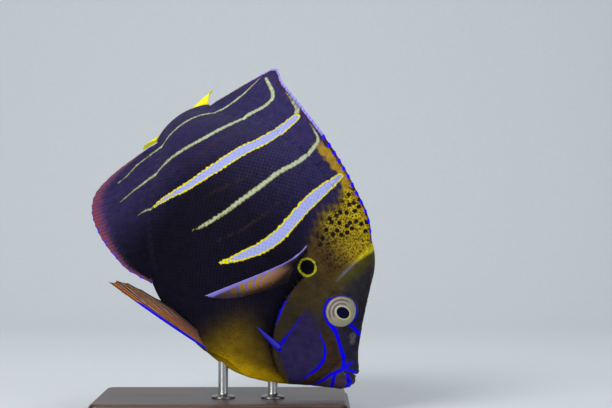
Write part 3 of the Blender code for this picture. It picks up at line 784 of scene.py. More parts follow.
def add_node(tree: Tree, kind: str, settings: dict[str, Any] | None = None,
             inputs: dict[int | str, Any] | None = None, output: int | str = 0) -> Socket:
    """Add a node with its settings and links.

    Args:
        tree: the material's nodes.
        kind: the node's type, after the word ShaderNode.
        settings: properties of the node.
        inputs: for its inputs, by name or number, the socket that feeds each or its value.
        output: name or number of the output to hand on.

    Returns:
        That output.
    """
    node = tree.nodes.new(f"ShaderNode{kind}")
    for name, value in (settings or {}).items():
        setattr(node, name, value)
    for name, value in (inputs or {}).items():
        if isinstance(value, Socket):
            tree.links.new(value, node.inputs[name])
        else:
            node.inputs[name].default_value = value
    return node.outputs[output]


@dataclass(frozen=True)
class Layer:
    """One colour of a pattern, laid on where a number kept on the vertices passes a threshold.

    Attributes:
        number: name of the number.
        code: the colour.
        start: the number where the colour begins to show.
        end: the number where it is full.
        strength: share of the colour where it is full.
        wobble: how far the skin's ripple moves its edge.
    """

    number: str
    code: str
    start: float
    end: float
    strength: float = 1.0
    wobble: float = 0.0


@dataclass(frozen=True)
class Grain:
    """Grain of a real size, through the whole of an object.

    Attributes:
        size_mm: its width.
        detail: octaves of finer grain in it.
        stretch: how much longer than wide it is along x, y and z.
    """

    size_mm: float
    detail: float = 3.0
    stretch: tuple[float, float, float] = (1.0, 1.0, 1.0)

    def lay_out(self, tree: Tree) -> Socket:
        """Add the grain to a material.

        Args:
            tree: the material's nodes.

        Returns:
            A share from 0 to 1.
        """
        scale = tuple(1 / (self.size_mm * MM) / axis for axis in self.stretch)
        place = add_node(tree, "TexCoord", output="Object")
        place = add_node(tree, "Mapping", None, {"Vector": place, "Scale": scale})
        return add_node(tree, "TexNoise", None, {"Vector": place, "Scale": 1.0, "Detail": self.detail}, "Fac")


@dataclass(frozen=True)
class Finish:
    """What a real surface gives the eye; each material below draws its own colour and fine relief."""

    name: str = "finish"
    ior: float = 1.5
    specular: float = 0.5
    tint: str = "#ffffff"
    metallic: float = 0.0
    coat: float = 0.0
    coat_roughness: float = 0.2
    roughness: tuple[float, float] = (0.4, 0.55)
    bump_mm: float = 0.1
    bump_strength: float = 0.4
    relief: Grain = Grain(0.5)

    def colour(self, tree: Tree) -> Socket:
        """The surface's colour."""
        raise NotImplementedError

    def height(self, tree: Tree) -> Socket:
        """The surface's fine relief, about 0 to 1."""
        return self.relief.lay_out(tree)

    def paint(self, tree: Tree, colour: Any, layers: Sequence[Layer], ripple: Socket) -> Socket:
        """Lay a pattern's layers over a colour, in order.

        Args:
            tree: the material's nodes.
            colour: the colour below, as a socket or a value.
            layers: the layers.
            ripple: the noise that moves the layers' edges.

        Returns:
            The colour on top.
        """
        for layer in layers:
            number = add_node(tree, "Attribute", {"attribute_name": layer.number}, output="Fac")
            moved = add_node(tree, "Math", {"operation": "MULTIPLY_ADD"},
                             {0: ripple, 1: layer.wobble, 2: number})
            mask = add_node(tree, "MapRange", {"interpolation_type": "SMOOTHSTEP"},
                            {"Value": moved, "From Min": layer.start, "From Max": layer.end,
                             "To Max": layer.strength})
            colours = {0: mask, 6: colour, 7: rgba(layer.code)}
            colour = add_node(tree, "Mix", {"data_type": "RGBA"}, colours, 2)
        return colour

    def build(self) -> Material:
        """Make the material.

        Returns:
            The material, with its fixed numbers on the shader and its colour, roughness and bump from nodes.
        """
        material = bpy.data.materials.new(self.name)
        material.use_nodes = True
        tree = material.node_tree
        shader = tree.nodes["Principled BSDF"]
        fixed = {"IOR": self.ior, "Specular IOR Level": self.specular, "Specular Tint": rgba(self.tint),
                 "Metallic": self.metallic, "Coat Weight": self.coat, "Coat Roughness": self.coat_roughness}
        for name, value in fixed.items():
            shader.inputs[name].default_value = value
        height = self.height(tree)
        low, high = self.roughness
        rough = add_node(tree, "MapRange", None, {"Value": height, "To Min": low, "To Max": high})
        bump = add_node(tree, "Bump", None,
                        {"Strength": self.bump_strength, "Distance": self.bump_mm * MM, "Height": height})
        for name, socket in (("Base Color", self.colour(tree)), ("Roughness", rough), ("Normal", bump)):
            tree.links.new(socket, shader.inputs[name])
        return material


@dataclass(frozen=True)
class FishSkin(Finish):
    """Living fish skin: deep pigment under clear slime, satin, so dark parts stay dark with soft highlights.

    Attributes:
        spots: for each set of nape spots, the number that tells where they are, their spacing in
            millimetres, their radius as a share of it and their strength.
    """

    name: str = "fish_skin"
    ior: float = 1.36
    specular: float = 0.3
    tint: str = "#b4acf0"
    roughness: tuple[float, float] = (0.46, 0.62)
    mottle_mm: float = 4.0
    mottle_gain: tuple[float, float] = (0.75, 1.25)
    ripple_mm: float = 2.2
    ripple_reach: float = 0.55
    pattern: tuple[Layer, ...] = (
        Layer("narrow_bar", "#8a8440", -0.45, -0.15, 0.85, 1.0),
        Layer("narrow_bar", "#a9b89e", -0.12, 0.25, 1.0, 1.0),
        Layer("broad_bar", "#4a2c10", -1.25, -0.85, 0.5, 1.5),
        Layer("broad_bar", "#dcd208", -0.78, -0.6, 1.0, 1.5),
        Layer("broad_bar", "#9da5da", -0.15, 0.05, 1.0, 1.5),
        Layer("ear_spot", "#aaa514", -0.1, 0.15, 1.0, 0.4),
        Layer("ear_spot", "#08070c", 0.95, 1.2, 1.0, 0.4),
        Layer("blue_line", "#0a02ea", -0.2, 0.15, 1.0, 0.4),
    )
    spots: tuple[tuple[str, float, float, float], ...] = (
        ("nape_specks", 1.3, 0.3, 0.6), ("nape_specks", 2.2, 0.2, 0.75), ("nape_spots", 3.9, 0.29, 0.97))
    spot_black: str = "#0b0a0a"
    spot_edge: float = 0.035
    spot_wobble: float = 0.12
    pore_mm: float = 0.5
    soft_mm: float = 2.5

    def skin_pattern(self, tree: Tree) -> Socket:
        """The whole pattern: mottled ground, nape spots, bars, ear spot and blue lines.

        Args:
            tree: the material's nodes.

        Returns:
            The colour.
        """
        place = add_node(tree, "Attribute", {"attribute_name": "straight_mm"}, output="Vector")
        ground = add_node(tree, "Attribute", {"attribute_name": "ground_colour"}, output="Color")
        clouds = {"Vector": place, "Scale": 1 / self.mottle_mm, "Detail": 4.0, "Roughness": 0.6}
        mottle = add_node(tree, "TexNoise", None, clouds, "Fac")
        low, high = self.mottle_gain
        shade = add_node(tree, "MapRange", None,
                         {"Value": mottle, "From Min": 0.3, "From Max": 0.7, "To Min": low, "To Max": high})
        colour = add_node(tree, "VectorMath", {"operation": "SCALE"}, {0: ground, "Scale": shade})
        ripple = self.ripple(tree, place, self.ripple_mm, 2.0, self.ripple_reach)
        for number, spacing, size, strength in self.spots:
            where = add_node(tree, "Attribute", {"attribute_name": number}, output="Fac")
            cell = add_node(tree, "TexVoronoi", {"voronoi_dimensions": "2D"},
                            {"Vector": place, "Scale": 1 / spacing, "Randomness": 0.8}, "Distance")
            edge = add_node(tree, "Math", {"operation": "MULTIPLY_ADD"},
                            {0: ripple, 1: self.spot_wobble, 2: cell})
            limits = {"Value": edge, "From Min": size + self.spot_edge, "From Max": size - self.spot_edge}
            dot = add_node(tree, "MapRange", {"interpolation_type": "SMOOTHSTEP"},
                           {**limits, "To Max": strength})
            mask = add_node(tree, "Math", {"operation": "MULTIPLY"}, {0: dot, 1: where})
            colours = {0: mask, 6: colour, 7: rgba(self.spot_black)}
            colour = add_node(tree, "Mix", {"data_type": "RGBA"}, colours, 2)
        return self.paint(tree, colour, self.pattern, ripple)

    def ripple(self, tree: Tree, place: Socket, grain_mm: float, detail: float, reach: float) -> Socket:
        """The ripple that moves a pattern's edges to and fro.

        Args:
            tree: the material's nodes.
            place: straight places in millimetres.
            grain_mm: its width.
            detail: octaves of finer ripple in it.
            reach: how far it moves an edge whose wobble is 1.

        Returns:
            Distances from -reach to reach.
        """
        grain = {"Vector": place, "Scale": 1 / grain_mm, "Detail": detail}
        wave = add_node(tree, "TexNoise", None, grain, "Fac")
        return add_node(tree, "MapRange", None, {"Value": wave, "To Min": -reach, "To Max": reach})

    def colour(self, tree: Tree) -> Socket:
        """The skin's pattern as it is."""
        return self.skin_pattern(tree)

    def height(self, tree: Tree) -> Socket:
        """Pores over soft unevenness.

        Args:
            tree: the material's nodes.

        Returns:
            The relief.
        """
        place = add_node(tree, "Attribute", {"attribute_name": "straight_mm"}, output="Vector")
        pores = add_node(tree, "TexVoronoi", None, {"Vector": place, "Scale": 1 / self.pore_mm}, "Distance")
        grain = {"Vector": place, "Scale": 1 / self.soft_mm, "Detail": 5.0}
        soft = add_node(tree, "TexNoise", None, grain, "Fac")
        return add_node(tree, "Math", {"operation": "MULTIPLY_ADD"}, {0: pores, 1: 0.5, 2: soft})


@dataclass(frozen=True)
class ScaleHorn(FishSkin):
    """Thin rough-edged scales: clear horn over pigment, with painted shade darkening each scale's covered
    root and painted light making its free edge a little paler.
    """

    name: str = "fish_scales"
    specular: float = 0.16
    roughness: tuple[float, float] = (0.5, 0.64)
    bump_mm: float = 0.05
    bump_strength: float = 0.3
    # gain: colour factor from painted shade at each scale's root to painted light at its free edge
    gain: tuple[float, float] = (0.92, 1.1)
    rings: float = 24.0
    grain_mm: float = 0.22

    def colour(self, tree: Tree) -> Socket:
        """The skin's pattern, with painted shade at each scale's root and painted light towards its free
        edge.

        Args:
            tree: the material's nodes.

        Returns:
            The colour.
        """
        run = add_node(tree, "Attribute", {"attribute_name": "scale_run"}, output="Fac")
        root_shade_and_edge_light = {"Value": run, "From Min": 0.35, "To Min": self.gain[0], "To Max": self.gain[1]}
        gain = add_node(tree, "MapRange", None, root_shade_and_edge_light)
        pattern = self.skin_pattern(tree)
        return add_node(tree, "VectorMath", {"operation": "SCALE"}, {0: pattern, "Scale": gain})

    def height(self, tree: Tree) -> Socket:
        """Growth rings across each scale, with fine grain.

        Args:
            tree: the material's nodes.

        Returns:
            The relief.
        """
        run = add_node(tree, "Attribute", {"attribute_name": "scale_run"}, output="Fac")
        place = add_node(tree, "Attribute", {"attribute_name": "straight_mm"}, output="Vector")
        turns = add_node(tree, "Math", {"operation": "MULTIPLY"}, {0: run, 1: self.rings})
        rings = add_node(tree, "Math", {"operation": "SINE"}, {0: turns})
        grain = {"Vector": place, "Scale": 1 / self.grain_mm, "Detail": 2.0}
        fine = add_node(tree, "TexNoise", None, grain, "Fac")
        return add_node(tree, "Math", {"operation": "MULTIPLY_ADD"}, {0: rings, 1: 0.25, 2: fine})


@dataclass(frozen=True)
class FinSkin(FishSkin):
    """Fin membrane stretched between bony rays: thin, satin, with the body's pattern carried out onto it."""

    name: str = "fin_membrane"
    specular: float = 0.2
    bump_mm: float = 0.08
    plain: str = ""
    margin: tuple[Layer, ...] = ()
    margin_mm: float = 1.4
    margin_reach: float = 0.6
    ray_gain: tuple[float, float] = (0.85, 1.3)
    joint_mm: float = 1.1
    fold_mm: float = 0.6

    def colour(self, tree: Tree) -> Socket:
        """The body's pattern or the fin's own plain colour, its layers, and lighter rays.

        Args:
            tree: the material's nodes.

        Returns:
            The colour.
        """
        below = rgba(self.plain) if self.plain else self.skin_pattern(tree)
        place = add_node(tree, "Attribute", {"attribute_name": "straight_mm"}, output="Vector")
        ripple = self.ripple(tree, place, self.margin_mm, 3.0, self.margin_reach)
        painted = self.paint(tree, below, self.margin, ripple)
        rays = add_node(tree, "Attribute", {"attribute_name": "ray_ridge"}, output="Fac")
        low, high = self.ray_gain
        gain = add_node(tree, "MapRange", None, {"Value": rays, "To Min": low, "To Max": high})
        return add_node(tree, "VectorMath", {"operation": "SCALE"}, {0: painted, "Scale": gain})

    def height(self, tree: Tree) -> Socket:
        """Joints along the rays, over the membrane's fine folds.

        Args:
            tree: the material's nodes.

        Returns:
            The relief.
        """
        run = add_node(tree, "Attribute", {"attribute_name": "ray_run_mm"}, output="Fac")
        rays = add_node(tree, "Attribute", {"attribute_name": "ray_ridge"}, output="Fac")
        place = add_node(tree, "Attribute", {"attribute_name": "straight_mm"}, output="Vector")
        turns = add_node(tree, "Math", {"operation": "MULTIPLY"}, {0: run, 1: 2 * math.pi / self.joint_mm})
        joints = add_node(tree, "Math", {"operation": "SINE"}, {0: turns})
        ridged = add_node(tree, "Math", {"operation": "MULTIPLY"}, {0: joints, 1: rays})
        grain = {"Vector": place, "Scale": 1 / self.fold_mm, "Detail": 3.0}
        folds = add_node(tree, "TexNoise", None, grain, "Fac")
        return add_node(tree, "Math", {"operation": "MULTIPLY_ADD"}, {0: ridged, 1: 0.3, 2: folds})


@dataclass(frozen=True)
class DorsalMembrane(FinSkin):
    """The dorsal fin's membrane: flank black with the bars' tops, a dark red band and a blue edge."""

    name: str = "dorsal_membrane"
    margin: tuple[Layer, ...] = (
        Layer("margin_band", "#431a1c", 0.0, 0.9, 0.9, 0.8),
        Layer("edge_lilac", "#8d8ce0", 0.05, 0.4, 1.0, 0.3),
        Layer("edge_blue", "#160ee6", 0.05, 0.45, 1.0, 0.3),
    )


@dataclass(frozen=True)
class AnalMembrane(FinSkin):
    """The anal fin's membrane: violet black with a streaked plum and rust band and a blue edge."""

    name: str = "anal_membrane"
    margin: tuple[Layer, ...] = (
        Layer("margin_band", "#6a3a58", 0.0, 0.75, 0.9, 0.6),
        Layer("margin_band", "#7c3a24", 0.62, 0.85, 0.7, 0.6),
        Layer("edge_lilac", "#4a3fb8", 0.1, 0.6, 1.0, 0.3),
        Layer("edge_blue", "#1c14ea", 0.1, 0.6, 1.0, 0.3),
    )


@dataclass(frozen=True)
class TailMembrane(FinSkin):
    """The tail fin's bright yellow membrane, with ochre at its root and a clear thin edge."""

    name: str = "tail_membrane"
    specular: float = 0.1
    plain: str = "#fff800"
    ray_gain: tuple[float, float] = (0.9, 1.05)
    margin: tuple[Layer, ...] = (
        Layer("fin_v", "#f6cc00", 0.3, 0.05, 0.6, 0.2),
        Layer("edge_lilac", "#fdf15a", 0.1, 0.8, 0.7, 0.3),
    )


@dataclass(frozen=True)
class PectoralMembrane(FinSkin):
    """The pectoral fin's membrane: amber between violet rays, violet in front and black behind, with painted
    shade darkening it towards its root.
    """

    name: str = "pectoral_membrane"
    plain: str = "#8f6a12"
    ray_gain: tuple[float, float] = (0.95, 1.08)
    margin: tuple[Layer, ...] = (
        Layer("ray_ridge", "#5f57a4", 0.3, 0.75, 0.95, 0.15),
        Layer("fin_u", "#6e4a10", 0.3, 0.6, 0.8, 0.1),
        Layer("fin_u", "#120d09", 0.55, 0.9, 0.95, 0.1),
        # painted shade: the membrane darkened towards its root, next to the body
        Layer("fin_v", "#1c1510", 0.4, 0.15, 0.9, 0.1),
        Layer("fin_v", "#1a110a", 0.6, 0.95, 0.9, 0.1),
        Layer("fin_u", "#7069b8", 0.2, 0.1, 0.95, 0.05),
        Layer("fin_u", "#9089d8", 0.07, 0.01, 0.8, 0.03),
    )


@dataclass(frozen=True)
class PelvicMembrane(FinSkin):
    """The pelvic fin's membrane: orange brown with dark and pale streaks, a dark tip and a blue front."""

    name: str = "pelvic_membrane"
    plain: str = "#a55c20"
    ray_gain: tuple[float, float] = (1.0, 1.0)
    margin: tuple[Layer, ...] = (
        Layer("fin_u", "#5a3a4a", 0.25, 0.7, 0.7, 0.9),
        Layer("ray_ridge", "#2a140c", 0.1, 0.5, 0.9, 0.5),
        Layer("ray_ridge", "#c0ab92", 0.86, 0.98, 0.6, 0.25),
        Layer("fin_u", "#3d2712", 0.7, 1.0, 0.8, 0.3),
        Layer("margin_band", "#1c120f", 0.0, 1.0, 0.9, 0.5),
        Layer("lead_edge", "#1709d4", -0.05, 0.1, 1.0, 0.06),
    )


@dataclass(frozen=True)
class Iris(Finish):
    """Eye: flat silvery iris behind a wet clear cornea, so a sharp highlight over a pale satin ring."""

    name: str = "eye_iris"
    ior: float = 1.376
    specular: float = 0.06
    coat: float = 0.06
    coat_roughness: float = 0.03
    roughness: tuple[float, float] = (0.35, 0.5)
    bump_strength: float = 0.2
    silver: str = "#9c9a82"
    fibres: Grain = Grain(1.4, 4.0)
    fibre_reach: float = 0.8
    rings: tuple[Layer, ...] = (
        Layer("rose_streak", "#6a5466", 0.1, 0.7, 0.95, 0.45),
        Layer("iris_gold", "#d8c416", 0.25, 0.6, 1.0, 0.4),
        Layer("iris_rim", "#4c4320", 0.1, 0.9, 0.9, 0.3),
        Layer("pupil", "#d9d8c8", -0.2, -0.08, 0.7, 0.05),
        Layer("pupil", "#030528", -0.06, 0.05, 1.0, 0.05),
    )

    def colour(self, tree: Tree) -> Socket:
        """Silver with streaks, a gold inner ring, a dark rim and the pupil.

        Args:
            tree: the material's nodes.

        Returns:
            The colour.
        """
        reach = {"Value": self.fibres.lay_out(tree), "To Min": -self.fibre_reach, "To Max": self.fibre_reach}
        return self.paint(tree, rgba(self.silver), self.rings, add_node(tree, "MapRange", None, reach))


@dataclass(frozen=True)
class ShadedFinish(Finish):
    """A surface of two close shades of one colour, mixed by its grain."""

    shades: tuple[str, str] = ("#ffffff", "#ffffff")
    clouds: Grain = Grain(1.0)

    def colour(self, tree: Tree) -> Socket:
        """Add the mixed shades to a material.

        Args:
            tree: the material's nodes.

        Returns:
            The colour.
        """
        first, second = self.shades
        colours = {0: self.clouds.lay_out(tree), 6: rgba(first), 7: rgba(second)}
        return add_node(tree, "Mix", {"data_type": "RGBA"}, colours, 2)


@dataclass(frozen=True)
class SpineBone(ShadedFinish):
    """Cheek spine: smooth bone under thin blue skin."""

    name: str = "cheek_spine_bone"
    roughness: tuple[float, float] = (0.3, 0.45)
    bump_mm: float = 0.05
    shades: tuple[str, str] = ("#120cd6", "#0b0788")
    clouds: Grain = Grain(1.5)
    relief: Grain = Grain(0.4)


@dataclass(frozen=True)
class BrushedSteel(ShadedFinish):
    """Stainless rod, turned and brushed round its axis: fine rings that spread the highlight."""

    name: str = "brushed_steel"
    metallic: float = 1.0
    roughness: tuple[float, float] = (0.22, 0.42)
    bump_mm: float = 0.04
    bump_strength: float = 0.15
    shades: tuple[str, str] = ("#b9bbbd", "#8f9294")
    clouds: Grain = Grain(0.12, 3.0, (120.0, 120.0, 1.0))
    relief: Grain = clouds


@dataclass(frozen=True)
class StudioPaper(ShadedFinish):
    """Matt seamless studio paper, pale and a little cool, with faint fibres."""

    name: str = "studio_paper"
    specular: float = 0.1
    roughness: tuple[float, float] = (0.85, 0.95)
    bump_mm: float = 0.05
    bump_strength: float = 0.1
    shades: tuple[str, str] = ("#d3d8dc", "#ccd2d7")
    clouds: Grain = Grain(4.0, 4.0)
    relief: Grain = Grain(1.0)


@dataclass(frozen=True)
class StainedWood(Finish):
    """Walnut base: planed, stained dark and oiled, so long fine grain and open pores with a soft sheen.

    Attributes:
        bands: grain and colour of the light bands and the pores, and the shares between which they show.
    """

    name: str = "stained_walnut"
    coat: float = 0.2
    coat_roughness: float = 0.3
    roughness: tuple[float, float] = (0.36, 0.5)
    bump_strength: float = 0.35
    relief: Grain = Grain(0.45, 2.0, (24.0, 1.0, 1.0))
    dark: str = "#2a170d"
    bands: tuple[tuple[Grain, str, float, float], ...] = (
        (Grain(3.5, 5.0, (16.0, 1.0, 1.0)), "#5a3822", 0.38, 0.64),
        (Grain(0.45, 5.0, (24.0, 1.0, 1.0)), "#160c07", 0.6, 0.72),
    )

    def colour(self, tree: Tree) -> Socket:
        """Bands of grain along the board with dark pores.

        Args:
            tree: the material's nodes.

        Returns:
            The colour.
        """
        colour: Any = rgba(self.dark)
        for grain, code, start, end in self.bands:
            limits = {"Value": grain.lay_out(tree), "From Min": start, "From Max": end}
            mask = add_node(tree, "MapRange", {"interpolation_type": "SMOOTHSTEP"}, limits)
            colour = add_node(tree, "Mix", {"data_type": "RGBA"}, {0: mask, 6: colour, 7: rgba(code)}, 2)
        return colour


# Pieces.


@dataclass
class BodySkin:
    """The one skin over head, trunk and tail stalk, with its lips, mouth, nostrils and eye sockets.

    Attributes:
        rings: for each stretch of the body, where it starts and its rings' spacing; the last ends it.
        upper_lip, lower_lip: s and z of each lip's front, and its radius.
    """

    sides: int = 400
    rings: Curve = ((0.02, 0.12), (1.2, 0.3), (16, 0.45), (64, 0.9), (186, 0.6), (195, 0))
    sink: float = 0.3
    nose_round: float = 2.2
    stalk_taper: tuple[float, float] = (186.0, 200.0)
    mouth_corner: tuple[float, float] = (8.6, -1.2)
    mouth_front: tuple[float, float] = (-2.0, 6.4)
    mouth_half_width: float = 5.7
    mouth_opening: float = 0.7
    upper_lip: tuple[float, float, float] = (4.8, 3.7, 1.5)
    lower_lip: tuple[float, float, float] = (2.3, -1.1, 2.1)
    lip_lift: float = 0.8
    socket_gap: float = 0.25
    soft_zone: tuple[float, float] = (11.0, 16.0)
    soft_steps: int = 5
    soft_share: float = 0.55

    def loft(self) -> Piece:
        """The closed skin before the mouth and eyes are cut.

        Returns:
            The skin's object.
        """
        stretches = zip(self.rings, self.rings[1:])
        stations = np.concatenate([np.arange(start, end, step) for (start, step), (end, _) in stretches])
        angles = np.linspace(0, 2 * math.pi, self.sides, endpoint=False)
        s, angle = (grid.ravel() for grid in np.meshgrid(stations, angles, indexing="ij"))
        point, normal = FISH.skin(np.minimum(s, FISH.length), angle)
        point[:, 0] = s
        lift = FISH.relief(s, point[:, 1], np.abs(np.sin(angle))) - self.sink
        blend = np.sqrt(np.clip(1 - (1 - np.clip(s / self.nose_round, 0, 1)) ** 2, 0, 1))
        on_body = np.clip(s, 0, FISH.length)
        middle = (read(BACK, on_body) + read(BELLY, on_body)) / 2
        point[:, 1] = middle + (point[:, 1] - middle) * blend
        wide, narrow = self.stalk_taper
        taper = rise(s, narrow, wide)
        point[:, 2] *= blend * (0.25 + 0.75 * taper)
        point += normal * (lift * blend * taper)[:, None]
        return closed_tube("skin", FISH.place(*point.T), len(stations), self.sides)

    def lip(self, front: tuple[float, float, float], lift: float, name: str) -> Piece:
        """A roll from one corner of the mouth round the front to the other.

        Args:
            front: s and z of the lip's front, and its radius.
            lift: height of its ends over the corner of the mouth.
            name: the roll's name.

        Returns:
            The roll.
        """
        steps, around = 64, 24
        corner = (self.mouth_corner[0], self.mouth_corner[1] + lift)
        turn = np.linspace(-math.pi / 2, math.pi / 2, steps)
        back = 1 - np.cos(turn)
        s = front[0] + (corner[0] - front[0]) * back
        z = front[1] + (corner[1] - front[1]) * back
        line = np.stack([s, z, self.mouth_half_width * np.sin(turn)], axis=1)
        along = np.gradient(line, axis=0)
        along /= np.linalg.norm(along, axis=1, keepdims=True)
        side = np.cross(along, np.array([0.0, 1.0, 0.0]))
        side /= np.linalg.norm(side, axis=1, keepdims=True)
        up = np.cross(side, along)
        radius = front[2] * (0.55 + 0.45 * np.cos(turn))
        radius *= np.sqrt(np.clip(1 - (np.abs(turn) / (math.pi / 2)) ** 14, 0.02, 1))
        angle = np.linspace(0, 2 * math.pi, around, endpoint=False)[None, :, None]
        ring = side[:, None] * np.cos(angle) + up[:, None] * np.sin(angle)
        points = (line[:, None] + ring * radius[:, None, None]).reshape(-1, 3)
        return closed_tube(name, FISH.place(*points.T), steps, around)

    def slit(self) -> Piece:
        """A thin wedge between the lips, as deep as the corner of the mouth.

        Returns:
            The wedge.
        """
        corner = np.array(self.mouth_corner)
        run = np.array(self.mouth_front) - corner
        across = np.array([-run[1], run[0]]) / np.linalg.norm(run)
        half = self.mouth_opening / 2
        points = []
        for along, off in ((0.0, 0.12), (0.5, half), (1.2, half + 0.2)):
            for sign in (-1, 1):
                for y in (-20.0, 20.0):
                    s, z = corner + run * along + across * off * sign
                    points.append((s, z, y))
        quads = [(0, 1, 3, 2), (8, 10, 11, 9)]
        for k in (0, 4):
            quads += [(k, k + 4, k + 5, k + 1), (k + 2, k + 3, k + 7, k + 6), (k, k + 2, k + 6, k + 4),
                      (k + 1, k + 5, k + 7, k + 3)]
        mesh = build_mesh("slit", FISH.place(*np.array(points, float).T), [np.array(quads)])
        face_outward(mesh)
        return add_object("slit", mesh)

    def build(self, material: Material) -> None:
        """Make the finished skin with its markings.

        Args:
            material: the fish's skin.
        """
        skin = self.loft()
        combine(skin, self.lip(self.upper_lip, self.lip_lift, "upper_lip"), "UNION")
        combine(skin, self.lip(self.lower_lip, -self.lip_lift, "lower_lip"), "UNION")
        combine(skin, self.slit(), "DIFFERENCE")
        for side in Side:
            combine(skin, Eye(side).ball("socket", self.socket_gap, 96, 48), "DIFFERENCE")
            for s, z, radius in NOSTRILS:
                point, normal = skin_frame(s, z, side)
                combine(skin, ellipsoid("nostril", point, normal, radius, radius * 1.6, 24, 12), "DIFFERENCE")
        keep_largest(skin.data)
        self.soften(skin.data)
        write_markings(skin.data, FISH.straight(mesh_points(skin.data)))
        skin.name = "body_skin"
        dress(skin, material)
        hand_over(skin, "dark_skin", ("head", "trunk", "tail_stalk"))

    def soften(self, mesh: Mesh) -> None:
        """Round the creases that the cuts leave round the mouth and the nostrils.

        Args:
            mesh: the cut skin.
        """
        points = mesh_points(mesh)
        s, z, _ = FISH.straight(points).T
        full, none = self.soft_zone
        weight = rise(s, none, full)
        for at_s, at_z, radius in NOSTRILS:
            weight = np.maximum(weight, rise(from_place((at_s, at_z), s, z), radius + 1.2, radius + 0.3))
        edges = np.empty(len(mesh.edges) * 2, np.int32)
        mesh.edges.foreach_get("vertices", edges)
        first, second = edges.reshape(-1, 2).T
        moved = (weight[first] > 0) | (weight[second] > 0)
        first, second = first[moved], second[moved]
        count = np.bincount(np.concatenate([first, second]), minlength=len(points))
        for _ in range(self.soft_steps):
            total = np.zeros_like(points)
            np.add.at(total, first, points[second])
            np.add.at(total, second, points[first])
            mean = total / np.maximum(count, 1)[:, None]
            points += (mean - points) * (self.soft_share * weight * (count > 0))[:, None]
        move_points(mesh, points)


def move_points(mesh: Mesh, points: Array) -> None:
    """Move a mesh's vertices to new places."""
    mesh.vertices.foreach_set("co", points.astype(np.float32).ravel())
    mesh.update()


def dress(obj: Piece, material: Material) -> None:
    """Give a smooth-shaded piece its one material.

    Args:
        obj: the piece.
        material: its finish.
    """
    obj.data.materials.clear()
    obj.data.materials.append(material)
    obj.data.shade_smooth()


def face_outward(mesh: Mesh) -> None:
    """Turn every face outward.

    Args:
        mesh: a closed mesh.
    """
    bm = bmesh.new()
    bm.from_mesh(mesh)
    bmesh.ops.recalc_face_normals(bm, faces=bm.faces[:])
    if bm.calc_volume(signed=True) < 0:
        bmesh.ops.reverse_faces(bm, faces=bm.faces[:])
    bm.to_mesh(mesh)
    bm.free()


def combine(obj: Piece, other: Piece, operation: str) -> None:
    """Join another closed mesh to an object or cut it away.

    Args:
        obj: the object that is kept.
        other: the one that is used up.
        operation: UNION or DIFFERENCE.
    """
    step = obj.modifiers.new("combine", "BOOLEAN")
    step.operation = operation
    step.solver = "MANIFOLD"
    step.object = other
    bpy.context.view_layer.update()
    graph = bpy.context.evaluated_depsgraph_get()
    mesh = bpy.data.meshes.new_from_object(obj.evaluated_get(graph))
    obj.modifiers.clear()
    obj.data = mesh
    bpy.data.objects.remove(other, do_unlink=True)


def keep_largest(mesh: Mesh) -> None:
    """Drop the scraps of a cut.

    Args:
        mesh: the cut mesh, which keeps its largest connected surface.
    """
    bm = bmesh.new()
    bm.from_mesh(mesh)
    seen: set[bmesh.types.BMVert] = set()
    groups = []
    for start in bm.verts:
        if start in seen:
            continue
        group = []
        queue = [start]
        seen.add(start)
        while queue:
            vert = queue.pop()
            group.append(vert)
            for edge in vert.link_edges:
                other = edge.other_vert(vert)
                if other not in seen:
                    seen.add(other)
                    queue.append(other)
        groups.append(group)
    groups.sort(key=len, reverse=True)
    scraps = [vert for group in groups[1:] for vert in group]
    if scraps:
        bmesh.ops.delete(bm, geom=scraps, context="VERTS")
    bm.to_mesh(mesh)
    bm.free()


def ring_quads(rings: int, around: int) -> tuple[Array, Array]:
    """Corner numbers and faces between rings of points.

    Args:
        rings: number of rings.
        around: points in each.

    Returns:
        Corner numbers as rings, and rows of four corners.
    """
    index = np.arange(rings * around).reshape(rings, around)
    after = np.roll(index, -1, axis=1)
    return index, np.stack([index[:-1], after[:-1], after[1:], index[1:]], axis=-1).reshape(-1, 4)


def sheet_quads(index: Array) -> Array:
    """Rows of four corners, from corner numbers laid out as a grid."""
    return np.stack([index[:-1, :-1], index[1:, :-1], index[1:, 1:], index[:-1, 1:]], axis=-1).reshape(-1, 4)


def closed_tube(name: str, points: Array, rings: int, around: int) -> Piece:
    """A tube closed by a fan at each end.

    Args:
        name: its name.
        points: its rings' places in metres, ring by ring.
        rings: number of rings.
        around: points in each.

    Returns:
        The tube.
    """
    index, quads = ring_quads(rings, around)
    ends = np.stack([points[index[0]].mean(axis=0), points[index[-1]].mean(axis=0)])
    total = rings * around
    caps = [np.stack([np.full(around, total), np.roll(index[0], -1), index[0]], axis=1),
            np.stack([np.full(around, total + 1), index[-1], np.roll(index[-1], -1)], axis=1)]
    mesh = build_mesh(name, np.concatenate([points, ends]), [quads, np.concatenate(caps)])
    face_outward(mesh)
    return add_object(name, mesh)


def skin_frame(s: float, z: float, side: Side, lift: float = 0.0) -> tuple[Vector, Vector]:
    """Find a place on the skin.

    Args:
        s: distance behind the snout.
        z: height.
        side: the fish's side.
        lift: distance over the plain skin.

    Returns:
        The place in the frame and the skin's outward direction there.
    """
    top, bottom = (float(read(edge, np.array([s]))[0]) for edge in (BACK, BELLY))
    share = (z - (top + bottom) / 2) / ((top - bottom) / 2)
    angle = math.acos(max(-1.0, min(1.0, share))) * side.value
    point, normal = FISH.skin(np.array([s]), np.array([angle]))
    raised = point + normal * lift
    start = Vector(FISH.place(*raised.T)[0])
    end = Vector(FISH.place(*(raised + normal).T)[0])
    return start, (end - start).normalized()


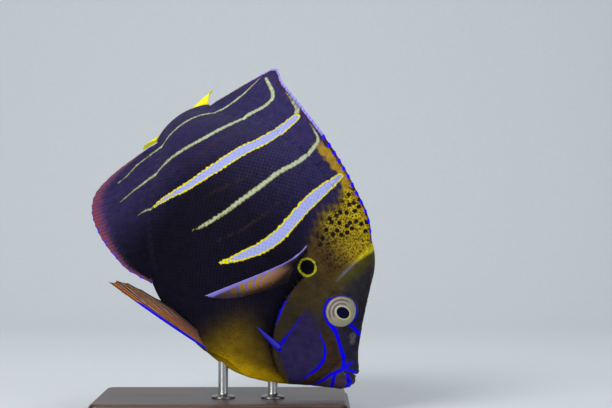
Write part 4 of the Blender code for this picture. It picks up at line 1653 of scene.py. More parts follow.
def ellipsoid(name: str, centre: Vector, axis: Vector, radius: float, depth: float, segments: int,
              rings: int) -> Piece:
    """A ball flattened along its axis.

    Args:
        name: its name.
        centre: its middle in the frame.
        axis: direction of its short axis.
        radius: millimetres across the axis.
        depth: millimetres along it.
        segments: corners round it.
        rings: corners from pole to pole.

    Returns:
        The ball.
    """
    bm = bmesh.new()
    bmesh.ops.create_uvsphere(bm, u_segments=segments, v_segments=rings, radius=1.0)
    turn = axis.to_track_quat("Z", "Y").to_matrix().to_4x4()
    size = Matrix.Diagonal((radius * MM, radius * MM, depth * MM, 1.0))
    bmesh.ops.transform(bm, matrix=Matrix.Translation(centre) @ turn @ size, verts=bm.verts[:])
    mesh = bpy.data.meshes.new(name)
    bm.to_mesh(mesh)
    bm.free()
    return add_object(name, mesh)


@dataclass
class ScaleCoat:
    """The scales: rows from the cheek to the tail stalk and out over the fin bases, smallest on the head.

    Attributes:
        fin_bases: where the fins' own scales take over, along which edge and on which side of it.
        patch, patch_at: size of a scale's patch in the unrolled skin, and each side's middle there.
    """

    spacing: Curve = ((0, 1.0), (30, 1.15), (50, 1.35), (66, 1.8), (90, 2.2), (140, 2.2), (165, 1.9),
                      (192, 1.3))
    largest: float = 2.2
    row_share: float = 0.58
    length_share: float = 1.6
    width_share: float = 0.66
    root_height: float = -0.22
    tip_height: float = 0.18
    crown: float = 0.04
    thickness: float = 0.16
    jitter: float = 0.05
    grid: int = 3
    start: float = 13.0
    face_end: float = 62.0
    end: float = 190.0
    piece_limit: int = 190000
    fin_bases: tuple[tuple[float, float, Curve, int], ...] = (
        (60.0, 177.0, BACK, 1), (104.0, 176.0, BELLY, -1))
    fin_overlap: float = 4.5
    eye_clear: float = 9.6
    mouth_at: tuple[float, float] = (4.0, -1.0)
    mouth_clear: float = 10.5
    nose_at: tuple[float, float] = (19.6, 11.8)
    nose_clear: float = 3.4
    patch: tuple[float, float] = (0.0012, 0.0015)
    patch_at: tuple[float, float] = (0.25, 0.75)

    def centres(self) -> Array:
        """Places of all scales of the body.

        Returns:
            Rows of s, arc from the middle of the side, side sign and spacing.
        """
        table = np.arange(self.start, self.end, 0.1)
        count = np.concatenate([[0], np.cumsum(0.1 / read(self.spacing, table))])[:-1]
        rows = []
        for k in range(-60, 61):
            shift = 0.5 if k % 2 else 0.0
            at = np.arange(shift, count[-1], 1.0)
            s = np.interp(at, count, table)
            size = read(self.spacing, s)
            arc = k * self.row_share * size
            low = np.interp(s, FISH.arc_s, FISH.arc_limit[:, 0])
            high = np.interp(s, FISH.arc_s, FISH.arc_limit[:, 1])
            inside = (arc > low + 0.2) & (arc < high - 0.2)
            for side in Side:
                rows.append(np.stack([s, arc, np.full(len(s), side.value), size], axis=1)[inside])
        rows = np.concatenate(rows)
        rng = np.random.default_rng(7)
        for column in (0, 1):
            rows[:, column] += rng.uniform(-self.jitter, self.jitter, len(rows)) * rows[:, 3]
        return rows[self.allowed(rows)]

    def allowed(self, rows: Array) -> Array:
        """Which scales lie clear of the eyes, nostrils, lips, gill slit and fins.

        Args:
            rows: s, arc, side sign and spacing of the scales.

        Returns:
            True for each scale that stays.
        """
        s, arc = rows[:, 0], rows[:, 1]
        z, _ = FISH.outline(s, FISH.angle_at(s, arc))
        behind = past_line(GILL_EDGE, s + rows[:, 3] * 0.6, z)
        clear = (behind < -0.3) | (behind > 1.6) | (z > 26)
        bare = ((EYE_AT, self.eye_clear), (self.nose_at, self.nose_clear), (self.mouth_at, self.mouth_clear))
        for at, radius in bare:
            clear &= from_place(at, s, z) > radius
        for first, last, crest, way in self.fin_bases:
            clear &= (s < first) | (s > last) | ((read(crest, s) - z) * way > self.fin_overlap)
        return clear

    def template(self) -> tuple[Array, Array, Array]:
        """One scale in shares of its own size.

        Returns:
            Rows of lengthwise, crosswise, height and run shares of its corners, which of them are underneath,
            and its faces as quads.
        """
        n = self.grid
        run, cross = np.linspace(0, 1, n + 1), np.linspace(-1, 1, n + 1)
        p, q = (grid.ravel() for grid in np.meshgrid(run, cross, indexing="ij"))
        along = -0.3 + 1.3 * p * (1 - 0.33 * q**2 * p)
        across = q * (0.62 + 0.38 * np.sin(math.pi * np.clip(p * 0.62 + 0.12, 0, 1)))
        index = np.arange((n + 1) ** 2).reshape(n + 1, n + 1)
        top = sheet_quads(index)
        rim = np.concatenate([index[0, :-1], index[:-1, -1], index[-1, :0:-1], index[:0:-1, 0]])
        base, count = (n + 1) ** 2, len(rim)
        low = base + np.arange(count)
        walls = np.stack([rim, np.roll(rim, -1), np.roll(low, -1), low], axis=1)
        steps = np.arange(count // 2 - 1)
        floor = np.stack([low[steps], low[steps + 1], low[count - 2 - steps], low[count - 1 - steps]], axis=1)
        shares = np.stack([along, across, p**1.2, p], axis=1)
        under = np.concatenate([np.zeros(base), np.ones(count)])
        return np.concatenate([shares, shares[rim]]), under, np.concatenate([top, walls, floor])

    def build(self, material: Material) -> None:
        """All scales of the body, as joined meshes.

        Args:
            material: the scales' material.
        """
        centres = self.centres()
        triangles = len(self.template()[2]) * 2
        groups = [("face_scales", centres[:, 0] < self.face_end, "face_skin"),
                  ("trunk_scales", centres[:, 0] >= self.face_end, "dark_skin")]
        for label, chosen, slot in groups:
            for side in Side:
                rows = centres[chosen & (centres[:, 2] == side.value)]
                rows = rows[np.argsort(rows[:, 0], kind="stable")]
                parts = math.ceil(len(rows) * triangles / self.piece_limit)
                for number, part in enumerate(np.array_split(rows, parts), start=1):
                    self.body_piece(f"{label}_{side.label}_{number}", slot, part, side, material)

    def spread(self, size: Array) -> list[Array]:
        """How far the corners of scales lie along and across from their roots, one row for each scale."""
        shares, spans = self.template()[0], (self.length_share, self.width_share)
        return [size[:, None] * span * shares[None, :, k] for k, span in enumerate(spans)]

    def body_piece(self, name: str, slot: str, rows: Array, side: Side, material: Material) -> None:
        """One joined mesh of scales of the body.

        Args:
            name: the piece's name.
            slot: the record's slot.
            rows: s, arc, side sign and spacing of its scales.
            side: the fish's side.
            material: the scales' material.
        """
        size = rows[:, 3]
        drift = (read(self.spacing, rows[:, 0] + 0.5) - size) / 0.5 * rows[:, 1] / size
        along, across = self.spread(size)
        s = (rows[:, 0, None] + along - across * drift[:, None]).ravel()
        arc = (rows[:, 1, None] + across + along * drift[:, None]).ravel()
        angle = FISH.angle_at(s, arc) * side.value
        point, normal = FISH.skin(s, angle)
        point += normal * (FISH.relief(s, point[:, 1], np.abs(np.sin(angle))) - 0.15)[:, None]
        self.piece(name, slot, point, normal, size, rows[:, :2], side, material)

    def fin_piece(self, fin: "RayedFin", high: float, side: Side, material: Material) -> None:
        """Small scales over a median fin's base, their free edges out along the rays.

        Args:
            fin: the fin that carries them.
            high: how far out they go, as a share of its height.
            side: which face of the fin.
            material: the scales' material.
        """
        rng = np.random.default_rng(11)
        centres, sizes = [], []
        height = np.linalg.norm(np.diff(fin.shape.place(np.array([0.5, 0.5]), np.array([0.0, 1.0])), axis=0))
        v = 0.05
        while v < high:
            size = 2.0 - 1.1 * (v / high) ** 0.7
            table = np.linspace(0.015, 0.985, 200)
            ends = fin.shape.place(table, np.full(200, v))
            run = np.concatenate([[0.0], np.cumsum(np.linalg.norm(np.diff(ends, axis=0), axis=1))])
            at = np.arange(rng.uniform(0, size), run[-1], size)
            u = np.interp(at, run, table)
            centres.append(np.stack([u, v + rng.uniform(-0.004, 0.004, len(u))], axis=1))
            sizes.append(np.full(len(u), size))
            v += size * 0.55 / height
        centre, size = np.concatenate(centres), np.concatenate(sizes)
        keep = rng.uniform(0, 1, len(size)) > rise(centre[:, 1], high * 0.8, high) * 0.7
        centre, size = centre[keep], size[keep]
        step = 0.01
        here = fin.shape.place(centre[:, 0], centre[:, 1])
        by_u = (fin.shape.place(centre[:, 0] + step, centre[:, 1]) - here)[:, :2] / step
        by_v = (fin.shape.place(centre[:, 0], centre[:, 1] + step) - here)[:, :2] / step
        out_way = by_v / np.linalg.norm(by_v, axis=1, keepdims=True) * 0.75 + np.array([0.66, 0.0])
        out_way /= np.linalg.norm(out_way, axis=1, keepdims=True)
        cross_way = np.stack([-out_way[:, 1], out_way[:, 0]], axis=1)
        along, across = self.spread(size)
        move = along[:, :, None] * out_way[:, None] + across[:, :, None] * cross_way[:, None]
        area = by_u[:, 0] * by_v[:, 1] - by_u[:, 1] * by_v[:, 0]
        du = (move[:, :, 0] * by_v[:, 1, None] - move[:, :, 1] * by_v[:, 0, None]) / area[:, None]
        dv = (move[:, :, 1] * by_u[:, 0, None] - move[:, :, 0] * by_u[:, 1, None]) / area[:, None]
        u = (centre[:, 0, None] + du).ravel()
        v = (centre[:, 1, None] + dv).ravel()
        point = fin.face(u, v, side)
        normal = np.cross(fin.face(u + step, v, side) - point, fin.face(u, v + step, side) - point)
        normal *= (side.value * np.sign(normal[:, 2]) / np.linalg.norm(normal, axis=1))[:, None]
        name = f"{fin.name}_scales_{side.label}"
        self.piece(name, fin.slot, point, normal, size, here[:, :2], side, material)

    def piece(self, name: str, slot: str, point: Array, normal: Array, size: Array,
              patch: Array, side: Side, material: Material) -> None:
        """One joined mesh of scales.

        Args:
            name: the piece's name.
            slot: the record's slot.
            point: places on the skin under the scales' corners, scale by scale, as rows of (s, z, y).
            normal: outward directions there.
            size: one size for each scale.
            patch: place of each scale on the unrolled skin, in millimetres.
            side: the fish's side.
            material: the scales' material.
        """
        shares, under, faces = self.template()
        corners = len(shares)
        rng = np.random.default_rng(len(size))
        lift = rng.uniform(0.85, 1.15, len(size))
        scale = (size / self.largest)[:, None] ** 0.8
        crown = self.crown * (1 - shares[None, :, 1] ** 2) * shares[None, :, 3]
        height = self.root_height + (self.tip_height - self.root_height) * shares[None, :, 2] * lift[:, None]
        height = (height + crown - self.thickness * under[None, :]) * scale
        raised = point + normal * height.ravel()[:, None]
        index = (np.arange(len(size))[:, None, None] * corners + faces[None]).reshape(-1, 4)
        if side is Side.LEFT:
            index = index[:, ::-1]
        mesh = build_mesh(name, FISH.place(*raised.T), [index])
        roots = np.repeat(raised.reshape(len(size), corners, 3)[:, 2], corners, axis=0)
        write_markings(mesh, raised, raised * 0.85 + roots * 0.15)
        write_floats(mesh, "scale_run", np.tile(shares[:, 3], len(size)))
        self.unwrap(mesh, patch, size, side, shares)
        hand_over(add_object(name, mesh, material), slot)

    def unwrap(self, mesh: Mesh, patch: Array, size: Array, side: Side, shares: Array) -> None:
        """Give each scale a small patch at its root's place on the skin unrolled from the back.

        Args:
            mesh: the joined scales.
            patch: place of each scale on the unrolled skin, in millimetres.
            size: one size for each scale.
            side: the fish's side.
            shares: a scale's corners in shares of its size.
        """
        centre = self.patch_at[0] if side is Side.RIGHT else self.patch_at[1]
        small = np.sqrt(size / self.largest)[:, None]
        u = 0.02 + patch[:, 0, None] / 200 * 0.96 + shares[None, :, 0] * small * self.patch[0]
        v = centre + patch[:, 1, None] / 160 * 0.45 + shares[None, :, 1] * small * self.patch[1]
        flat = np.stack([u.ravel(), v.ravel()], axis=1).astype(np.float32)
        layer = mesh.uv_layers.new(name="OFBake")
        vertex = np.empty(len(mesh.loops), np.int32)
        mesh.loops.foreach_get("vertex_index", vertex)
        layer.data.foreach_set("uv", flat[vertex].ravel())


@dataclass
class RayedFin:
    """A fin: a thin closed sheet with raised rays that fork towards the free margin.

    Attributes:
        name: the piece's name.
        node: the solid it stands for.
        slot: the record's slot.
        rays: number of spines and rays.
        spines: how many of them are unforked spines, from the first.
        shape: where the fin lies and how fleshy it is.
        ray_mm, web_mm: thickness on a ray and between rays, at the root and at the margin.
        ray_share: half width of a ray as a share of the rays' spacing, at the root and at the margin.
        peel: how far the rays lie along the leading edge and leave it one by one, 0 for a plain fan.
        spine_notch, ray_notch: how deep the margin is notched between spines and between rays.
        columns_per_ray, rows: the sheet's squares.
        fork_from: how far out the soft rays start to fork.
        edge_mm, band_mm: width of the pale edge and of the band along the margin.
        lilac_from: how far back along the fin the edge turns from blue to lilac.
    """

    name: str
    node: str
    slot: str
    rays: int
    spines: int
    shape: "FinShape"
    ray_mm: tuple[float, float] = (1.1, 0.5)
    web_mm: tuple[float, float] = (0.6, 0.22)
    ray_share: tuple[float, float] = (0.16, 0.09)
    peel: float = 0.0
    spine_notch: float = 0.045
    ray_notch: float = 0.012
    columns_per_ray: int = 12
    rows: int = 56
    fork_from: float = 0.42
    edge_mm: float = 0.9
    band_mm: float = 5.0
    lilac_from: float = 2.0

    def ridge(self, u: Array, v: Array) -> Array:
        """How the rays stand out, each soft one forked beyond a point.

        Args:
            u, v: shares along the root and out to the margin.

        Returns:
            1 on a ray to 0 on the membrane between.
        """
        at = (self.peel * (u**2 + 1 - v) if self.peel else u) * (self.rays - 1)
        soft = np.round(at) >= self.spines
        fork = 0.24 * rise(v, self.fork_from, 0.95) * soft
        root, margin = self.ray_share
        return hump(np.abs(at - np.round(at)), fork, root + (margin - root) * v * soft)

    def notch(self, u: Array) -> Array:
        """How far the free margin falls back from the ray tips, as a share of the fin's height."""
        deep = np.where(u * (self.rays - 1) < self.spines - 1, self.spine_notch, self.ray_notch)
        return np.abs(np.sin(math.pi * u * (self.rays - 1))) ** 0.8 * deep

    def half(self, u: Array, v: Array, middle: Array) -> Array:
        """Half the fin's thickness.

        Args:
            u, v: shares along the root and out to the margin.
            middle: rows of (s, z, y) of the sheet's middle there.

        Returns:
            Millimetres.
        """
        u, v = np.clip(u, 0, 1), np.clip(v, 0, 1)
        thick, thin = (root + (margin - root) * v for root, margin in (self.ray_mm, self.web_mm))
        sheet = (thin + (thick - thin) * self.ridge(u, v)) / 2
        edge = np.minimum(np.minimum(u, 1 - u) * (self.rays - 1) * 3, 1)
        rounded = np.sqrt(np.clip(1 - np.clip((v - 0.985) / 0.02, 0, 1) ** 2, 0.05, 1))
        return sheet * rounded * (0.4 + 0.6 * edge) + self.shape.flesh(middle) * (0.1 + 0.9 * edge)

    def face(self, u: Array, v: Array, side: Side) -> Array:
        """Rows of (s, z, y) of one face of the fin, thickness told straight out to the side."""
        middle = self.shape.place(u, v)
        return middle + np.outer(side.value * self.half(u, v, middle), (0, 0, 1))

    def reach(self, u: Array, v: Array) -> Array:
        """The sheet's middle, with its margin notched between rays."""
        return self.shape.place(u, v * (1 - self.notch(u) * v**3))

    def markings(self, u: Array, v: Array, from_margin: Array) -> dict[str, Array]:
        """What the membrane's layers read.

        Args:
            u, v: shares along the root and out to the margin.
            from_margin: millimetres in from the margin.

        Returns:
            Numbers by name; those of edges and bands are positive inside.
        """
        at = u * (self.rays - 1)
        edge = (self.edge_mm - from_margin) / self.edge_mm
        lilac = np.where(u > self.lilac_from, edge * rise(u, 0.93, 0.8), -1)
        on_spine = edge + 1.5 * (hump(np.abs(at - np.round(at)), 0, 0.3) - 0.75)
        blue = np.where(at < self.spines, on_spine, edge - 0.1 + 0.4 * np.sin(u * 60)) - 3 * (lilac > -1)
        band = 1 - from_margin / (self.band_mm * (0.3 + 0.7 * rise(u, 0.1, 0.6)))
        lead = 1 - u / (0.2 - 0.13 * v) - 2 * rise(v, 0.66, 0.84)
        return {"ray_ridge": self.ridge(u, v), "fin_u": u, "fin_v": v, "edge_blue": blue, "edge_lilac": lilac,
                "margin_band": band, "lead_edge": lead}

    def build(self, material: Material) -> None:
        """Make the finished fin.

        Args:
            material: its membrane.
        """
        columns = (self.rays - 1) * self.columns_per_ray + 1
        along, out = np.linspace(0, 1, columns), np.linspace(0, 1, self.rows)
        u, v = (grid.ravel() for grid in np.meshgrid(along, out, indexing="ij"))
        middle = self.reach(u, v)
        grid = middle.reshape(columns, self.rows, 3)
        steps = np.linalg.norm(np.diff(grid, axis=1), axis=2)
        run = np.concatenate([np.zeros((columns, 1)), np.cumsum(steps, axis=1)], axis=1)
        shift = self.shape.across(grid) * self.half(u, v, middle)[:, None]
        straight = np.concatenate([middle + shift, middle - shift])
        count = len(middle)
        index = np.arange(count).reshape(columns, self.rows)
        front = sheet_quads(index)
        rim = np.concatenate([index[:-1, 0], index[-1, :-1], index[:0:-1, -1], index[0, :0:-1]])
        walls = np.stack([rim, rim + count, np.roll(rim, -1) + count, np.roll(rim, -1)], axis=1)
        faces = np.concatenate([front, front[:, ::-1] + count, walls])
        mesh = build_mesh(self.name, FISH.place(*straight.T), [faces])
        face_outward(mesh)
        write_markings(mesh, straight)
        numbers = {"ray_run_mm": run.ravel(), **self.markings(u, v, (run[:, -1:] - run).ravel())}
        for name, values in numbers.items():
            write_floats(mesh, name, np.tile(values, 2))
        hand_over(add_object(self.name, mesh, material), self.slot, (self.node,))


class FinShape:
    """Where a fin lies: its middle surface over shares u along the root and v out to the margin."""

    def place(self, u: Array, v: Array) -> Array:
        """Rows of (s, z, y) of the middle surface."""
        raise NotImplementedError

    def flesh(self, middle: Array) -> Array:
        """Half thickness of the flesh over the rays at rows of the middle surface."""
        return np.zeros(len(middle))

    def across(self, grid: Array) -> Array:
        """Directions in which the fin is thick: square to its grid of (s, z, y)."""
        normal = np.cross(np.gradient(grid, axis=0), np.gradient(grid, axis=1))
        return (normal / np.maximum(np.linalg.norm(normal, axis=2, keepdims=True), 1e-9)).reshape(-1, 3)


@dataclass(frozen=True)
class MedianFin(FinShape):
    """Shape of a fin on the mid line.

    Attributes:
        margin: u, s and z of points of its free margin.
        trail: from which share of the base the fin trails to the right, and how far.
    """

    margin: Curve
    base: tuple[float, float]
    outline: Curve
    sink: float
    trail: tuple[float, float]
    trail_full: float = 0.85
    blend: float = 6.0

    def place(self, u: Array, v: Array) -> Array:
        """The middle surface.

        Args:
            u, v: shares along the base and out to the margin.

        Returns:
            Rows of (s, z, y).
        """
        root_s = self.base[0] + (self.base[1] - self.base[0]) * u
        root_z = read(self.outline, root_s) + self.sink
        s = root_s + (read(self.margin, u) - root_s) * v
        z = root_z + (read(self.margin, u, 2) - root_z) * v
        start, amount = self.trail
        along = np.clip((u - start) / (self.trail_full - start), 0, 1) ** 1.5
        ripple = 0.25 * v**2 * np.sin(u * 23.0 + 0.8) * np.sin(math.pi * u)
        return np.stack([s, z, -amount * along * np.abs(v) ** 1.5 + ripple], axis=1)

    def flesh(self, middle: Array) -> Array:
        """Flesh that carries the body's slope on, thinning smoothly out over the rays.

        Args:
            middle: rows of (s, z, y).

        Returns:
            Its half thickness in millimetres.
        """
        s = np.clip(middle[:, 0], self.base[0] - 2, FISH.length - 2)
        slope = (read(self.outline, s + 1) - read(self.outline, s - 1)) / 2
        out = (middle[:, 1] - read(self.outline, s)) * -np.sign(self.sink) / np.sqrt(1 + slope**2)
        deep, less = FISH.half_at(s, self.blend), FISH.half_at(s, self.blend - 1)
        fade = deep / np.maximum(deep - less, 0.05)
        return 0.97 * deep * np.exp(-np.clip(out + self.blend, 0, None) / fade)

    def across(self, grid: Array) -> Array:
        """Straight out to the side, as the body's own sections are."""
        return np.tile([0.0, 0.0, 1.0], (grid.shape[0] * grid.shape[1], 1))


@dataclass(frozen=True)
class TailFin(FinShape):
    """Shape of the tail fin.

    Attributes:
        margin: u, s and z of points of its free margin.
        lag: for shares u of the margin, how far it lags to the right as the tail sweeps.
    """

    margin: Curve
    lag: Curve
    base: float = 187.0
    middle: float = 3.0
    half_height: float = 15.0
    root_mm: float = 0.9
    root_reach: float = 9.0

    def place(self, u: Array, v: Array) -> Array:
        """The middle surface.

        Args:
            u, v: shares down the base and out to the margin.

        Returns:
            Rows of (s, z, y).
        """
        root_z = self.middle + self.half_height * (1 - 2 * u)
        s = self.base + (read(self.margin, u) - self.base) * v
        z = root_z + (read(self.margin, u, 2) - root_z) * v
        return np.stack([s, z, -read(self.lag, u) * v**1.3], axis=1)

    def flesh(self, middle: Array) -> Array:
        """A thin fleshy root over the stalk's end."""
        return self.root_mm * np.exp(-((np.clip(middle[:, 0] - self.base, 0, None) / self.root_reach) ** 1.6))


@dataclass(frozen=True)
class PairedFin(FinShape):
    """Shape of a fin on one side of the fish.

    Attributes:
        root, margin: u, s, z and side distance of points of its root and of its free margin.
        bend: how far the leading rays are pushed along s, z and out before they straighten.
    """

    root: Curve
    margin: Curve
    bow: float
    side: Side
    bend: tuple[float, float, float] = (0.0, 0.0, 0.0)
    bend_share: float = 0.12

    def place(self, u: Array, v: Array) -> Array:
        """The middle surface.

        Args:
            u, v: shares along the root and out to the margin.

        Returns:
            Rows of (s, z, y).
        """
        table = np.array(self.root, float)
        start = np.stack([np.interp(u, table[:, 0], table[:, k]) for k in (1, 2, 3)], axis=1)
        end = np.stack([read(self.margin, u, k) for k in (1, 2, 3)], axis=1)
        sag = (1 - v) * (1 - np.exp(-v / self.bend_share)) * (1 - u)
        point = start + (end - start) * v[:, None] + np.array(self.bend) * sag[:, None]
        point[:, 2] = self.side.value * (point[:, 2] + self.bow * 4 * v * (1 - v))
        return point


DORSAL = MedianFin(
    margin=((0, 54, 48), (0.06, 62, 52.6), (0.2, 82, 57), (0.38, 107, 59.4), (0.55, 134, 59),
            (0.68, 156, 58.4), (0.79, 173, 58.6), (0.84, 176, 50), (0.91, 178, 38), (1, 179, 23)),
    base=(56.0, 176.0), outline=BACK, sink=-6.0, trail=(0.45, 0.4))
ANAL = MedianFin(
    margin=((0, 101, -56), (0.1, 112, -61.5), (0.25, 127, -64.5), (0.45, 146, -65), (0.62, 163, -62),
            (0.76, 175, -54), (0.86, 180, -44), (0.94, 181, -32), (1, 179, -17)),
    base=(102.0, 175.0), outline=BELLY, sink=6.0, trail=(0.45, 1.0))
TAIL = TailFin(
    margin=((0, 206, 24), (0.1, 217, 26), (0.3, 220, 17), (0.5, 220.5, 2), (0.7, 220, -14), (0.9, 217, -25),
            (1, 206, -22)),
    lag=((0, 4.8), (0.1, 5.5), (0.2, 5.5), (0.3, 4.9), (0.4, 3.8), (0.5, 1.2), (0.6, -0.4), (0.8, 0.4),
         (1, 1.4)))
PECTORAL_ROOT: Curve = ((0, 70.6, 20.0, 16.2), (1, 67.4, 11.4, 16.6))
PECTORAL_MARGIN: Curve = ((0, 77.8, -34.6, 33), (0.25, 73.8, -30, 39), (0.5, 69, -21.4, 42),
                           (0.75, 64.8, -9, 39), (1, 62, 2.5, 32))
PECTORAL_BEND = (-3.6, -2.5, 7.0)
PECTORAL_BOW = 4.5
PELVIC_ROOT: Curve = ((0, 57, -51.6, 2.6), (1, 64, -48.5, 4.4))
PELVIC_MARGIN: Curve = ((0, 111, -72.5, 11), (0.1, 110.3, -70.6, 10.8), (0.3, 107.5, -66.5, 10.5),
                        (0.6, 99, -60.8, 10), (1, 84, -53.6, 9))
PELVIC_BOW = 0.6
FIN_SCALES_REACH = 0.75


@dataclass
class Eye:
    """An eyeball: a flattened ball with the iris drawn round a pupil set a little forward."""

    side: Side
    radius: float = 8.6
    depth: float = 4.8
    sunk: float = 2.2
    pupil_at: tuple[float, float] = (33.7, 15.3)
    pupil: tuple[float, float] = (3.5, 2.8)
    pupil_lean: float = math.radians(20)
    rim_at: float = 7.4
    bulge: float = 0.35
    bulge_reach: float = 4.5

    def ball(self, name: str, extra: float, segments: int, rings: int) -> Piece:
        """The eyeball's plain form.

        Args:
            name: the ball's name.
            extra: millimetres to add all round.
            segments: corners round it.
            rings: corners from pole to pole.

        Returns:
            The ball.
        """
        point, normal = skin_frame(*EYE_AT, self.side)
        centre = point - normal * self.sunk * MM
        return ellipsoid(name, centre, normal, self.radius + extra, self.depth + extra, segments, rings)

    def build(self, material: Material) -> None:
        """Make the finished eye.

        Args:
            material: its iris.
        """
        obj = self.ball(f"eyeball_{self.side.label}", 0.0, 160, 96)
        mesh = obj.data
        points = mesh_points(mesh)
        straight = FISH.straight(points)
        pupil, _ = skin_frame(*self.pupil_at, self.side)
        off = straight - FISH.straight(np.array([pupil]))[0]
        cos, sin = math.cos(self.pupil_lean), math.sin(self.pupil_lean)
        wide, tall = off[:, 0] * cos - off[:, 1] * sin, off[:, 0] * sin + off[:, 1] * cos
        inside = 1 - np.hypot(wide / self.pupil[0], tall / self.pupil[1])
        away = from_place(EYE_AT, straight[:, 0], straight[:, 1])
        around = np.arctan2(off[:, 1], off[:, 0])
        front = 0.5 + 0.5 * np.cos(around - 2.97)
        behind = rise(np.cos(around + 0.17), -0.2, 0.8)
        streak = 0.45 * np.sin(away * 3.4 + around * 0.6) + 0.45
        numbers = {"pupil": inside, "iris_gold": (1 + inside * 2.6) * (0.3 + 0.8 * front),
                   "iris_rim": away - self.rim_at, "rose_streak": streak * behind * rise(inside, -0.15, -0.4)}
        for label, values in numbers.items():
            write_floats(mesh, label, values)
        point, normal = (np.array(vector) for vector in skin_frame(*EYE_AT, self.side))
        facing = ((points - point) @ normal) > -1.0 * MM
        bulge = np.exp(-((away / self.bulge_reach) ** 4)) * self.bulge * MM
        move_points(mesh, points + normal[None, :] * (bulge * facing)[:, None])
        dress(obj, material)
        hand_over(obj, "eye", (f"eye_{self.side.label}",))


@dataclass
class CheekSpine:
    """The spine at the lower corner of a cheek, curved a little and tapered to a point."""

    side: Side
    root: tuple[float, float] = (37.6, -20.6)
    tip: tuple[float, float] = (52.7, -22.9)
    lift: float = 0.7
    sink: float = 0.2
    rise: float = 1.7
    radii: tuple[float, float] = (1.7, 0.25)
    bow: float = 0.25
    rings: int = 40
    around: int = 24

    def build(self, material: Material) -> None:
        """Make the finished spine.

        Args:
            material: its bone.
        """
        start, normal = skin_frame(*self.root, self.side, self.lift)
        end, _ = skin_frame(*self.tip, self.side, self.lift)
        start = start - normal * self.sink * MM
        end = end + normal * self.rise * MM
        run = end - start
        across = run.cross(normal).normalized()
        frame_ways = (start, run, across, across.cross(run).normalized())
        start, run, across, up = (np.array(vector)[None] for vector in frame_ways)
        t = np.linspace(0, 1, self.rings)
        rounded = np.sqrt(np.clip(1 - np.clip((t - 0.96) / 0.045, 0, 1) ** 2, 0.02, 1))
        radius = np.minimum((self.radii[0] * (1 - t) ** 0.8 + self.radii[1]) * rounded, self.radii[0])
        bow = self.bow * np.sin(math.pi * t)
        angle = np.linspace(0, 2 * math.pi, self.around, endpoint=False)[:, None]
        line = start + run * t[:, None] + up * (bow * MM)[:, None]
        ring = across * np.cos(angle) + up * np.sin(angle) * 0.8
        points = (line[:, None] + ring[None] * (radius * MM)[:, None, None]).reshape(-1, 3)
        obj = closed_tube(f"spine_{self.side.label}", points, self.rings, self.around)
        dress(obj, material)
        hand_over(obj, "blue_spine", (f"cheek_spine_{self.side.label}",))


@dataclass
class StandBase:
    """The flat base: rounded corners and a stepped, softened edge.

    Attributes:
        profile: the edge from the bottom up, as distances in from its widest line and heights.
    """

    size: tuple[float, float, float] = (130.0, 90.0, 8.0)
    at: tuple[float, float] = (-4.0, -12.8)
    corner: float = 5.0
    corner_steps: int = 12
    profile: Curve = ((0.9, 0.0), (0.1, 0.3), (0.0, 0.9), (0.0, 4.6), (0.25, 5.0), (1.1, 5.15), (1.3, 5.4),
                      (1.35, 6.3), (1.7, 7.2), (2.4, 7.8), (3.2, 8.0))

    def ring(self, inset: float, height: float) -> Array:
        """Points of a rounded rectangle.

        Args:
            inset: distance in from the base's widest line.
            height: height over the ground.

        Returns:
            Rows of x, y, z in metres.
        """
        radius = self.corner - inset * 0.5
        points = []
        for number, (sx, sy) in enumerate(((1, 1), (-1, 1), (-1, -1), (1, -1))):
            cx = sx * (self.size[0] / 2 - inset - radius)
            cy = sy * (self.size[1] / 2 - inset - radius)
            for i in range(self.corner_steps + 1):
                angle = math.pi / 2 * (number + i / self.corner_steps)
                points.append((self.at[0] + cx + radius * math.cos(angle),
                               self.at[1] + cy + radius * math.sin(angle), height))
        return np.array(points) * MM

    def build(self, material: Material) -> None:
        """Make the finished base.

        Args:
            material: its wood.
        """
        rings = [self.ring(inset, height) for inset, height in self.profile]
        index, quads = ring_quads(len(rings), len(rings[0]))
        mesh = build_mesh("base", np.concatenate(rings), [quads, index[:1, ::-1], index[-1:]])
        face_outward(mesh)
        mesh.shade_smooth()
        for polygon in mesh.polygons:
            polygon.use_smooth = len(polygon.vertices) == 4
        hand_over(add_object("walnut_base", mesh, material), "stained_wood", ("stand_base",))


@dataclass
class StandRod:
    """A turned rod on a round foot, up to the breast that it carries."""

    name: str
    node: str
    radius: float = 2.5
    foot_radius: float = 6.0
    stands_at: float = 8.0
    into_skin: float = 0.6
    around: int = 64
    sharp_angle: float = math.radians(40)

    def build(self, material: Material) -> None:
        """Make the finished rod.

        Args:
            material: its steel.
        """
        low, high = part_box(self.node)
        top = high.z / MM - self.stands_at + self.into_skin
        foot, rod = self.foot_radius, self.radius
        profile = [(foot - 0.3, 0.0), (foot, 0.25), (foot, 0.9), (foot - 0.3, 1.2), (rod + 1.4, 1.5),
                   (rod + 0.5, 1.9), (rod + 0.1, 2.6), (rod, 3.4), (rod, top)]
        centre = ((low.x + high.x) / 2, (low.y + high.y) / 2)
        points = []
        for radius, height in profile:
            for angle in np.linspace(0, 2 * math.pi, self.around, endpoint=False):
                x, y = radius * MM * math.cos(angle), radius * MM * math.sin(angle)
                points.append((centre[0] + x, centre[1] + y, (self.stands_at + height) * MM))
        obj = closed_tube(self.name, np.array(points), len(profile), self.around)
        dress(obj, material)
        obj.data.set_sharp_from_angle(angle=self.sharp_angle)
        hand_over(obj, "brushed_rod", (self.node,))


